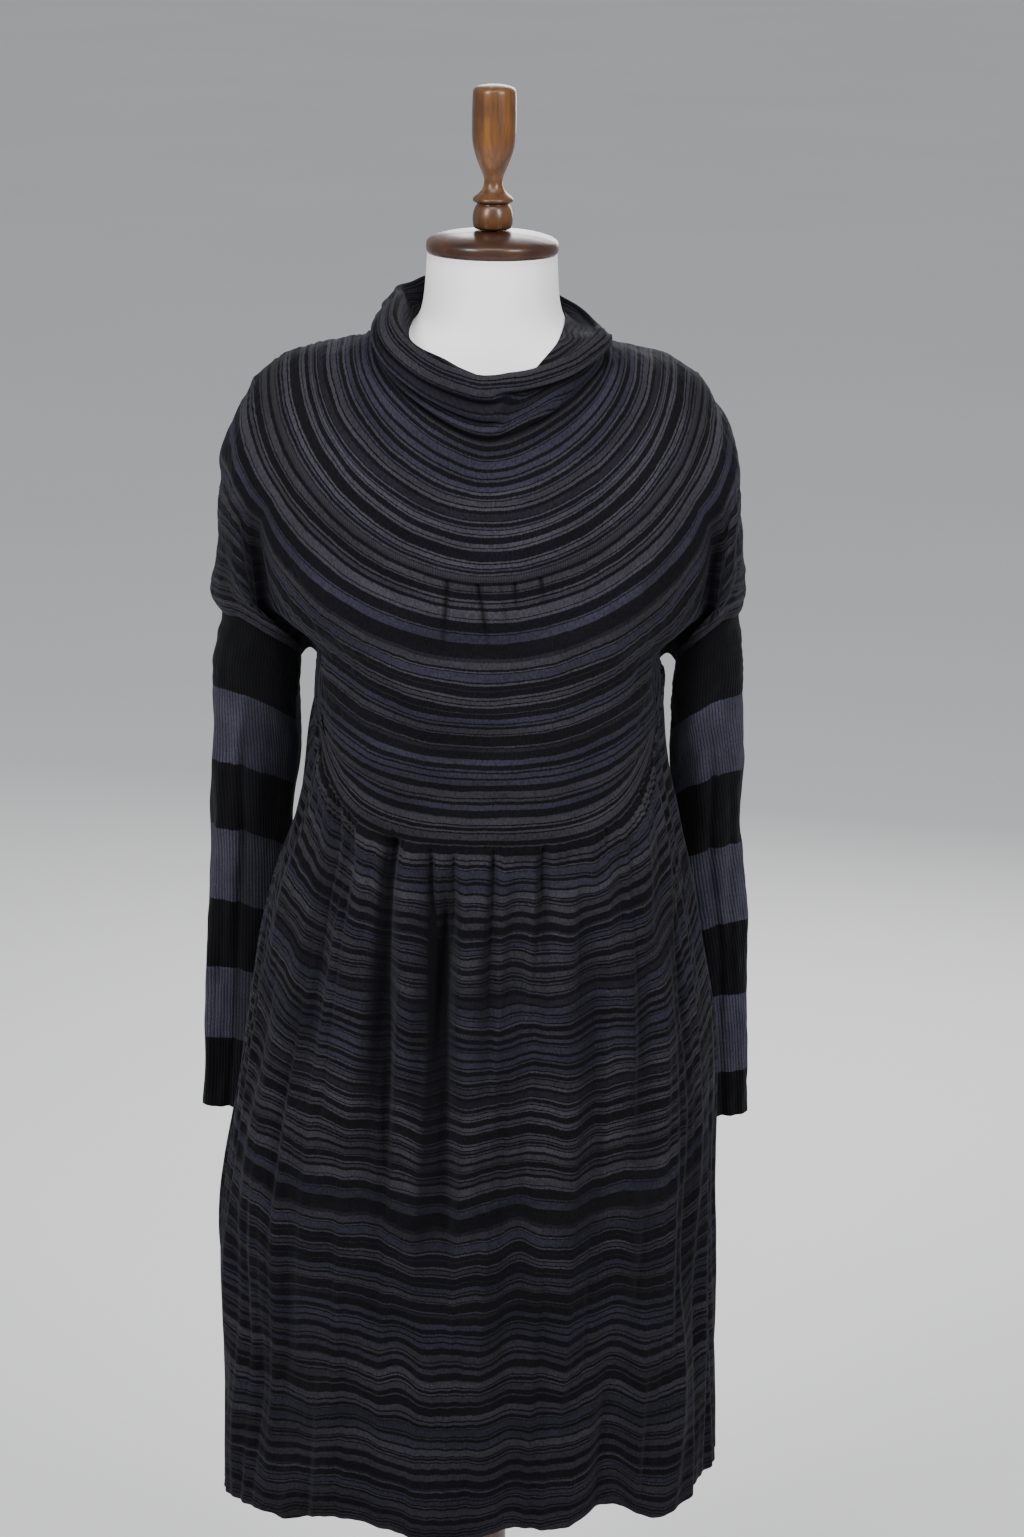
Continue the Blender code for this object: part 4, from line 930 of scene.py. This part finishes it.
# ---- skirt
def fold_lift(across, height, below, folds):
    """Height, painted shade and stripe slip of the skirt's folds."""
    lift, shade, slip = np.zeros_like(height), np.zeros_like(height), np.zeros_like(height)
    for f in named(folds, FOLD_COLUMNS):
        t = np.clip((f["start"] - height) / (f["start"] - f["end"]), 0, 1.3)
        width = f["half_width"] * (1 + f["widen"] * ease(t))
        d = across - (f["across"] + f["drift"] * t + 0.0012 * np.sin(9 * t + 60 * f["across"]))
        rise = FOLD_RISE if f["start"] > BELOW_SEAM else SLOW_RISE
        there = ease((f["start"] - height) / rise) * ease(below / SEAM_RISE) * (1 - ease((t - 0.45) / 0.55))
        if f["depth"] > 0:
            lift += f["depth"] * bell(d, width) * there
            continue
        # The right wall of a trough is steep and well lit, the left one leans back in shade.
        leaning = bell(d, width * np.where(d > 0, 0.75, 1.35))
        narrow = bell(d - 0.15 * width, 0.4 * width)
        sharp = 0.4 * min(1, (f["depth"] / CRISP_DEPTH) ** 2)
        lift += f["depth"] * ((1 - sharp) * leaning + sharp * narrow) * there
        # Painted shade fills the trough over its left wall, and stops short of the steep right wall.
        dark = np.minimum(1, 1.5 * bell(d + 0.3 * width, 0.72 * width))
        dark = dark * (1 - ease((d - 0.15 * width) / (0.45 * width)))
        shade += np.minimum(0.95, -f["depth"] / DARK_DEPTH) * dark * there
        slip -= f["depth"] * SLIP * d / width * bell(d, width) * there
    return lift, shade, slip


def skirt_half(back, fineness, rows):
    """The plain grid of the skirt's front or back, with its folds' height, shade and slip."""
    top = mirrored(*[half_ring(2.0, right, back, fineness)[0] for right in (False, True)])
    across = np.clip(top[:, 0] / half_width(top[:, 0], top[[0, -1], 2].max()), -1, 1)
    hem = read(HEM, HEM_COLUMNS, "back" if back else "front", across)
    grid = []
    for v in rows:
        z = top[:, 2] + (hem - top[:, 2]) * v
        spread = half_width(top[:, 0], z) - half_width(top[:, 0], top[:, 2])
        x = top[:, 0] + np.sign(top[:, 0]) * spread * np.abs(across) ** 3
        grid.append(np.stack([x, surface_y(x, z, back), z], -1))
    grid = np.stack(grid)
    grid[0] = top
    place = np.repeat(top[None, :, 0], len(rows), 0)
    folds = fold_lift(place, grid[..., 2], rows[:, None] * SKIRT_LENGTH, BACK_FOLDS if back else FRONT_FOLDS)
    at_sides = 1 - np.abs(across) ** 10
    fields = [grid] + [field * at_sides for field in folds]
    return [field[:, ::-1] if back else field for field in fields]


def room_over_form(grid):
    """How deep a fold may be at each point of the skirt before it comes near the form inside it."""
    turn = np.arctan2(grid[..., 0], -grid[..., 1])
    room = np.hypot(grid[..., 0], grid[..., 1]) - form_reach(turn, np.maximum(grid[..., 2], TORSO_BOTTOM))
    below_form = ease((TORSO_BOTTOM - 0.004 - grid[..., 2]) / 0.05)
    return np.maximum(0.8 * room - 0.003 + 0.05 * below_form, 0)


def make_skirt():
    rows = merged(np.linspace(0, 1, 180), (0.0015, 0.003, 0.0045, 0.008, 0.0115, 0.0145))
    front = skirt_half(False, FRONT_FINENESS, rows)
    back = skirt_half(True, BACK_FINENESS, rows)
    grid, lift, shade, slip = [np.concatenate([a, b[:, 1:]], axis=1) for a, b in zip(front, back)]
    centre = front[0].shape[1] // 2
    middle = np.repeat(arc_lengths(grid, centre)[len(rows) // 2][None], len(rows), 0)
    down = np.repeat(rows[:, None], grid.shape[1], 1) * SKIRT_LENGTH
    soft = ease(down / 0.05)
    lift += uneven(middle, down, SKIRT_UNEVEN) * soft
    lift += uneven(middle, down, SKIRT_FINE) * ease(down / 0.02)
    # Fine gathers crowd the seam.
    lift += uneven(middle, down, SKIRT_GATHERS) * bell(down - 0.012, 0.016) * ease(down / 0.004)
    lift = np.maximum(lift * ease(down / SEAM_EASE), -room_over_form(grid))
    cloth = turned_edge(lifted(grid, lift), 0.016, 0.0011)
    # Stripes slip past each other at the folds, and dip and rise a little elsewhere.
    course = BODICE_COURSE + down + joined(slip + uneven(middle, down, SKIRT_STRIPES) * soft)
    course = doubled(run_on(course, each_row=0.0006))
    # Painted shade in the folds, along the seam with the bodice and inside the turned hem.
    shade = doubled(run_on(joined(shade + 0.5 * bell(down, 0.0016)), EDGE_SHADE))
    wale = doubled(arc_lengths(cloth, centre))
    return skin("dress_skirt", tucked(cloth), wale, course, stripes_material, shade)


# ---- sleeves
def sleeve_tube(right, rows):
    """The sleeve's plain grid, which fits the armhole at its top, and the turn of each column."""
    side = "right" if right else "left"
    sign = 1 if right else -1
    fronts, backs = [half_ring(2.0, right, back, SLEEVE_FINENESS)[2] for back in (False, True)]
    turn = np.linspace(0, math.pi, len(fronts))
    if right:
        top = np.concatenate([fronts, backs[-2::-1]])
        turn = np.concatenate([turn, 2 * math.pi - turn[-2::-1]])
    else:
        top = np.concatenate([fronts[::-1], backs[1:]])
        turn = np.concatenate([turn[::-1], -turn[1:]])

    def tube(z):
        value = read_all(SLEEVES, SLEEVE_COLUMNS, z)
        x = sign * (value["outer_" + side] - value["width_" + side] * (1 + np.cos(turn)) / 2)
        y = value["back"] - value["depth"] / 2 * np.sin(turn)
        return np.stack([x, y, z], -1)

    difference = top - tube(top[:, 2])
    grid = []
    for v in rows:
        point = tube(top[:, 2] + (CUFF_HEIGHT - top[:, 2]) * v)
        point[:, :2] += difference[:, :2] * (1 - ease(v / 0.1))
        grid.append(point)
    grid[0] = top
    return np.stack(grid), turn


def make_sleeve(right):
    rows = merged(np.linspace(0, 1, 200), (0.002, 0.004, 0.006))
    grid, turn = sleeve_tube(right, rows)
    v, angle = np.meshgrid(rows, turn, indexing="ij")
    outward = -np.cos(angle)
    seed = 50 if right else 40
    # A soft ridge down the front, with a crease beside it, wanders down the sleeve.
    wander = 0.05 * np.sin(7 * v + seed) + 0.04 * np.sin(17 * v)
    front = ease(np.sin(angle) / 0.5)
    lift = 0.003 * bell(outward + 0.18 + wander, 0.26) * front * ease(v / 0.2)
    crease = bell(outward - 0.16 + wander, 0.1) * front * ease((v - 0.12) / 0.2)
    lift -= 0.003 * crease
    lift -= 0.0016 * bell(outward - 0.62 - wander, 0.12) * front * ease((v - 0.05) / 0.2)
    # Lengths round the sleeve and down it, near enough for its unevenness.
    around, down = angle * 0.03, v * 0.47
    lift += uneven(around, down, SLEEVE_UNEVEN, seed) * ease(v / 0.05)
    # Small drags run across the cloth under the arm.
    lift += uneven(around, down, SLEEVE_DRAGS, seed) * bell(v - 0.08, 0.07) * ease(v / 0.02)
    lift *= ease(v / 0.004)
    # Painted shade: the cloth between the crease and the body is turned out of the light and is painted
    # darker, much more on the left sleeve, as are the crease and the armhole seam.
    turned_away = 1 - ease((outward - 0.1 + 1.6 * wander) / 0.22)
    shade = 0.3 * crease + 0.35 * bell(v, 0.004) + (0.12 if right else 0.6) * turned_away * front
    cloth = tucked(turned_edge(lifted(grid, lift), 0.014, 0.001))
    wale = doubled(run_on(arc_lengths(grid, 0)))
    course = doubled(run_on(v * (RIGHT_BANDS if right else 1.0)))
    shade = doubled(run_on(shade, EDGE_SHADE))
    return skin("sleeve_knit_" + ("right" if right else "left"), cloth, wale, course, ribs_material, shade)


# ---- collar
UP = np.array([0, 0, 1.0])
OUTER_COURSE, ROLL_COURSE = 0.05, 0.012  # lengths of cloth down the collar's outside and over its edge
# Rolls on the left: the height, place down the collar and width of each.
ROLLS = ((0.003, 0.2, 0.07), (-0.0056, 0.36, 0.048), (0.005, 0.52, 0.075), (-0.006, 0.68, 0.046),
         (0.004, 0.81, 0.055))
# Painted shade in the grooves between the rolls: how dark, place down the collar and width of each.
ROLL_GROOVE_SHADE = ((0.85, 0.36, 0.04), (0.85, 0.68, 0.04))


def directions(base):
    """Round the neck: degrees from the front, the same with a sign, radians, and the way out."""
    turn = np.degrees(np.arctan2(base[:, 0], -base[:, 1])) % 360
    radians = np.radians(turn)
    out = np.stack([np.sin(radians), -np.cos(radians), 0 * turn], -1)
    return turn, (turn + 180) % 360 - 180, radians, out


def inner_rows(base, edge, lip):
    """Rows of the inner layer, from low down inside the neck up to the collar's rolled edge.

    It hangs free behind the neck. Beside it and in front it slopes in over the shoulder to the form.
    """
    turn, signed, radians, out = directions(base)
    contact = read(three_times_round(INSIDE), INSIDE_COLUMNS, "contact", turn)
    levels = np.linspace(1.36, NECK_TOP, 140)
    reaches = np.stack([form_reach(radians, level) for level in levels])
    meets = form_reach(radians, contact) + INSIDE_CLEARANCE
    edge_reach = np.hypot(edge[:, 0], edge[:, 1])
    edge_turn = np.arctan2(edge[:, 0], -edge[:, 1])
    hug = ease((132 - np.abs(signed)) / 30)
    length = ROLL_COURSE + (INSIDE_STRIPES * (np.abs(edge_reach - meets) + np.abs(edge[:, 2] - contact))
                            - ROLL_COURSE) * hug
    rows = []
    for t in np.linspace(1, 0.08, 14):
        hanging = edge - UP * (lip * t)[:, None] + out * (0.0015 * t)
        reach = edge_reach + (meets - edge_reach) * t
        level = edge[:, 2] + (contact - edge[:, 2]) * t - 0.004 * math.sin(math.pi * t)
        on_form = np.array([np.interp(reach[i], reaches[::-1, i], levels[::-1]) for i in range(len(reach))])
        level = np.maximum(level, on_form + INSIDE_CLEARANCE)
        resting = np.stack([reach * np.sin(edge_turn), -reach * np.cos(edge_turn), level], -1)
        # Painted shade inside the collar: darker further down, and darker on the left than on the right.
        dark = np.where(signed > 0, 0.08 + 0.22 * t, 0.25 + 0.3 * t)
        rows.append((hanging + (resting - hanging) * hug[:, None],
                     -OUTER_COURSE - ROLL_COURSE - t * length,
                     0.5 * t + (dark - 0.5 * t) * hug))
    return rows


def outer_rows(base, rim, shape, left, right):
    """Rows of the outer layer, from the rolled edge down to the seam with the yoke."""
    _, signed, radians, out = directions(base)
    height = shape["stand"] / FULL_STAND
    drift = 0.1 * ease((-signed - 10) / 80)
    rows = []
    for t in np.linspace(0, 1, 80)[1:]:
        # Rolls on the left sweep down to the centre and crowd together there.
        roll = bells(t - drift, ROLLS)
        # On the right a broad flat rim stands over a stretch with small uneven lumps.
        down = t * shape["stand"]
        rim_band = 1 - ease((down - RIM_BAND) / 0.003)
        lumps = np.sin(radians * 9 + 5 * t) + 0.7 * np.sin(radians * 15 - 9 * t + 1)
        flat = 0.0058 * rim_band + (0.0011 * lumps * ease((1 - t) / 0.15) - 0.001) * (1 - rim_band)
        middle = math.sin(math.pi * t)
        swell = shape["bulge"] * middle * (1 - 0.75 * right) + left * height * roll + right * flat
        swell -= 0.003 * bell(t - 0.95, 0.06) * (left + right) * height
        swell *= ease(t / 0.04) * ease((1 - t) / 0.02)
        swell += 0.0006 * np.sin(radians * 5) * middle
        chevrons = 0.004 * np.sin(radians * 8 + 6 * t) * (1 - rim_band)
        # Painted shade in the grooves between the left rolls, under the rim band on the right, and in the
        # crease along the seam.
        grooves = left * bells(t - drift, ROLL_GROOVE_SHADE)
        under_rim = right * (0.85 * bell(down - RIM_BAND - 0.0035, 0.0022) + 0.25 * (1 - rim_band))
        rows.append((rim + (base - rim) * t + out * swell[:, None],
                     -OUTER_COURSE * (1 - t) + right * chevrons,
                     grooves + under_rim + (left + right) * 0.9 * bell(t - 0.97, 0.05)))
    return rows


def make_collar():
    base = closed_ring(0.0, COLLAR_FINENESS)
    turn, signed, radians, out = directions(base)
    shape = read_all(three_times_round(COLLAR), COLLAR_COLUMNS, turn)
    wobble = 0.0012 * np.sin(radians * 7 + 1) + 0.0008 * np.sin(radians * 13)
    rim = base + UP * (shape["stand"] + 0.6 * wobble)[:, None] + out * (wobble - shape["lean"])[:, None]

    left = ease((9 - signed) / 9) * ease((signed + 128) / 45)  # front left, where it rolls
    right = ease((signed - 1) / 10) * ease((100 - signed) / 30)  # front right, where it lies flat
    radius = COLLAR_ROLL + 0.0014 * right + 0.0008 * left
    rows = inner_rows(base, rim - (2 * radius)[:, None] * out, shape["lip"] + 0.006)
    for bend in np.linspace(180, 0, 13):
        angle = math.radians(bend)
        rows.append((rim + radius[:, None] * ((math.cos(angle) - 1) * out + math.sin(angle) * UP),
                     -OUTER_COURSE - ROLL_COURSE * bend / 180 + 0 * turn, 0 * turn))
    rows += outer_rows(base, rim, shape, left, right)
    # Its lowest row goes in behind the yoke, which it is sewn to.
    _, course, shade = rows[-1]
    rows.append((base - TUCK_RISE * UP - TUCK_DEPTH * out, course + TUCK_RISE, shade))
    grid, course, shade = [np.stack(field) for field in zip(*rows)]
    wale = arc_lengths(grid, (len(base) - 1) // 4)
    return skin("dress_collar", grid, wale, course, stripes_material, shade)


# ---- the form and its stand
def make_form():
    """The padded torso under its jersey cover, a little inside the cloth all over."""
    turn = np.linspace(0, 2 * math.pi, 121)
    s, c = np.sin(turn), np.cos(turn)
    rows = []
    for height in merged(np.linspace(TORSO_BOTTOM, 1.39, 80), np.linspace(1.39, NECK_TOP, 56))[::-1]:
        wide, deep, square = form_section(s, c, height)
        x = np.sign(s) * np.abs(s) ** (2 / square) * wide
        y = -np.sign(c) * np.abs(c) ** (2 / square) * deep
        rows.append(np.stack([x, y, 0 * s + height], -1))
    grid = np.stack(rows)
    for _ in range(3):
        grid[1:-1, :, :2] = (grid[:-2, :, :2] + 2 * grid[1:-1, :, :2] + grid[2:, :, :2]) / 4
    # A fine seam runs down the back of the cover.
    from_seam = np.abs(turn - math.pi) + 0 * grid[..., 0]
    grid = lifted(grid, bells(from_seam, ((-0.0009, 0, 0.012), (0.0004, 0.035, 0.02))))
    # Darker along the back seam, and painted shade just under the neck cap.
    shade = 0.5 * bell(from_seam, 0.016) + 0.35 * bell(grid[..., 2] - NECK_TOP, 0.004)
    crown = np.array([grid[0] * (t, t, 1) for t in (0.05, 0.6, 0.97)])
    foot = np.array([grid[-1] * (t, t, 1) for t in (0.985, 0.9, 0.6, 0.05)])
    grid = np.concatenate([crown, grid, foot])
    shade = np.concatenate([shade[:len(crown)], shade, shade[-len(foot):]])
    return skin("form_cover_torso", grid, arc_lengths(grid, 0), grid[..., 2], cover_material, shade)


def smooth_profile(points, fineness):
    """A turned profile with more points, its corners eased into curves."""
    points = np.array(points, float)
    fine = [points[0]]
    for a, b in zip(points[:-1], points[1:]):
        fine += [a + (b - a) * t for t in np.linspace(0, 1, fineness + 1)[1:]]
    fine = np.array(fine)
    for _ in range(fineness):
        fine[1:-1] = 0.25 * fine[:-2] + 0.5 * fine[1:-1] + 0.25 * fine[2:]
    return fine


def make_turned(name, profile, material, around=72, grooves=()):
    """A turned piece from the radius and height of its profile's points; a groove is dark, high and wide."""
    line = smooth_profile(profile, 4)
    turn = np.linspace(0, 2 * math.pi, around + 1)
    radius = line[:, 0][:, None]
    grid = np.stack([radius * np.sin(turn), -radius * np.cos(turn), line[:, 1][:, None] + 0 * turn], -1)
    shade = bells(grid[..., 2], grooves) + 0 * grid[..., 2]
    return skin(name, grid, turn[None] * np.ones_like(radius), grid[..., 2], material, shade)


AXIS = 0.0002  # radius of a profile's ends, just off its axis
FOOT = CAP_TOP + SEAM_GAP
FINIAL = [(radius, FOOT + rise) for radius, rise in (
    (AXIS, 0.1257), (0.009, 0.125), (0.016, 0.1232), (0.0182, 0.1212), (0.019, 0.119), (0.0193, 0.1017),
    (0.0193, 0.0837), (0.0186, 0.0747), (0.0168, 0.0667), (0.0128, 0.0557), (0.0092, 0.0477), (0.008, 0.0435),
    (0.008, 0.0405), (0.0088, 0.0365), (0.0112, 0.0325), (0.0155, 0.0292), (0.0177, 0.0272), (0.0178, 0.0252),
    (0.0166, 0.0238), (0.014, 0.0232), (0.0138, 0.0222), (0.0152, 0.0205), (0.0168, 0.0165), (0.0176, 0.0115),
    (0.0176, 0.0075), (0.017, 0.0035), (0.0158, 0), (AXIS, 0))]
NECK_CAP = [(AXIS, CAP_TOP), (0.02, CAP_TOP - 0.0002), (0.04, CAP_TOP - 0.0025),
            (0.052, CAP_TOP - 0.006), (0.056, CAP_TOP - 0.0082), (0.0578, CAP_TOP - 0.0105),
            (CAP_RADIUS, CAP_BOTTOM + 0.006), (0.0578, CAP_BOTTOM + 0.003), (0.057, CAP_BOTTOM + 0.0008),
            (0.0556, CAP_BOTTOM), (AXIS, CAP_BOTTOM)]
COLUMN_TOP = TORSO_BOTTOM - SEAM_GAP
COLUMN_FOOT = BASE_HEIGHT + SEAM_GAP
COLUMN = [(AXIS, COLUMN_TOP), (COLUMN_RADIUS, COLUMN_TOP), (COLUMN_RADIUS, 0.4), (COLUMN_RADIUS, 0.1),
          (0.031, 0.09), (0.037, 0.082), (0.039, 0.074), (0.037, 0.066), (0.032, 0.058),
          (0.033, 0.046), (0.041, 0.033), (0.052, COLUMN_FOOT), (AXIS, COLUMN_FOOT)]
BASE = [(AXIS, BASE_HEIGHT), (BASE_RADIUS - 0.02, BASE_HEIGHT), (BASE_RADIUS - 0.01, 0.024),
        (BASE_RADIUS - 0.003, 0.019), (BASE_RADIUS, 0.012), (BASE_RADIUS - 0.0005, 0.004),
        (BASE_RADIUS - 0.004, 0.0), (AXIS, 0.0)]
FINIAL_GROOVES = ((0.9, FOOT + 0.0232, 0.0012), (0.35, FOOT + 0.041, 0.004), (0.8, FOOT, 0.002))

collar = make_collar()
yoke = make_yoke()
bodice = make_bodice()
skirt = make_skirt()
sleeves = [make_sleeve(False), make_sleeve(True)]
form = make_form()
finial = make_turned("finial_wood", FINIAL, wood_material, 72, FINIAL_GROOVES)
cap = make_turned("neck_cap_wood", NECK_CAP, cap_material, 96, ((0.5, CAP_BOTTOM, 0.002),))
column = make_turned("column_wood", COLUMN, stand_material, 72, ((0.6, 0.058, 0.003),))
base = make_turned("base_wood", BASE, stand_material, 120)

PIECES = [
    (collar, "striped_knit", ("collar",)),
    (yoke, "striped_knit", ("yoke_front", "yoke_back")),
    (bodice, "striped_knit", ("bodice_front", "bodice_back")),
    (skirt, "striped_knit", ("skirt_front", "skirt_back")),
    (sleeves[0], "ribbed_knit", ("sleeve_left",)),
    (sleeves[1], "ribbed_knit", ("sleeve_right",)),
    (form, "form_cover", ("form_torso",)),
    (finial, "turned_wood", ("finial",)),
    (cap, "dark_wood", ("neck_cap",)),
    (column, "dark_wood", ("stand_column",)),
    (base, "dark_wood", ("stand_base",)),
]
for piece, slot, nodes in PIECES:
    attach(piece, "root")
    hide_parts(*nodes)

# ---- floor, light and camera
FLOOR_CORNERS = [(-40, -12, 0), (40, -12, 0), (40, 60, 0), (-40, 60, 0)]
SKY_COLOUR, SKY_STRENGTH = (0.95, 0.97, 1.0, 1), 0.45
LIGHTS = [
    ("key_left", (-1.9, -2.4, 3.0), (0, 0, 1.15), (1.0, 1.6), 110),
    ("key_right", (2.0, -2.3, 2.9), (0, 0, 1.15), (0.9, 1.5), 86),
    ("front_top", (0.0, -1.5, 3.6), (0, 0, 1.3), (1.6, 1.0), 34),
    ("rear_soft", (0.6, 3.0, 2.1), (0, 0, 1.1), (1.8, 1.8), 55),
]
CAMERA_PLACE = (0.0245, -3.6, 1.97)
CAMERA_PITCH = math.radians(14.55)
CAMERA_ROLL = math.radians(0.93)
FOCAL_PIXELS, FRAME_HEIGHT = 4131.0, 1537.0
SENSOR = 36.0


def make_floor():
    mesh = bpy.data.meshes.new("floor")
    mesh.from_pydata(FLOOR_CORNERS, [], [(0, 1, 2, 3)])
    floor = bpy.data.objects.new("floor", mesh)
    collection.objects.link(floor)
    material, n, shader = new_material("floor_paper", 0.85)
    stops = [(0.3, (0.86, 0.86, 0.865)), (0.7, (0.88, 0.88, 0.885))]
    n.put(shader.inputs["Base Color"], n.ramp(n.noise(n.object_place(), 0.7, 3.0), stops))
    mesh.materials.append(material)


def placed(axes, location):
    """The matrix of something with these three axes at a place."""
    return Matrix([[*[axis[i] for axis in axes], location[i]] for i in range(3)] + [[0, 0, 0, 1]])


def area_light(name, location, target, size, power):
    data = bpy.data.lights.new(name, "AREA")
    data.shape = "RECTANGLE"
    data.size, data.size_y = size
    data.energy = power
    light = bpy.data.objects.new(name, data)
    back = unit(np.array(location, float) - np.array(target, float))
    side = unit(np.cross(UP, back))
    light.matrix_world = placed((side, np.cross(back, side), back), location)
    collection.objects.link(light)


def make_camera():
    data = bpy.data.cameras.new("camera")
    data.sensor_fit = "VERTICAL"
    data.sensor_height = SENSOR
    data.lens = SENSOR * FOCAL_PIXELS / FRAME_HEIGHT
    data.clip_end = 200
    camera = bpy.data.objects.new("camera", data)
    collection.objects.link(camera)
    backward = np.array([0, -math.cos(CAMERA_PITCH), math.sin(CAMERA_PITCH)])
    level_up = np.array([0, math.sin(CAMERA_PITCH), math.cos(CAMERA_PITCH)])
    level_right = np.array([1.0, 0, 0])
    right = math.cos(CAMERA_ROLL) * level_right + math.sin(CAMERA_ROLL) * level_up
    up = -math.sin(CAMERA_ROLL) * level_right + math.cos(CAMERA_ROLL) * level_up
    camera.matrix_world = placed((right, up, backward), CAMERA_PLACE)
    bpy.context.scene.camera = camera


make_floor()
for light in LIGHTS:
    area_light(*light)
make_camera()
world = bpy.data.worlds.new("studio")
bpy.context.scene.world = world
world.use_nodes = True
world.node_tree.nodes["Background"].inputs[0].default_value = SKY_COLOUR
world.node_tree.nodes["Background"].inputs[1].default_value = SKY_STRENGTH


def plain(corners):
    return [[float(value) for value in corner] for corner in corners]
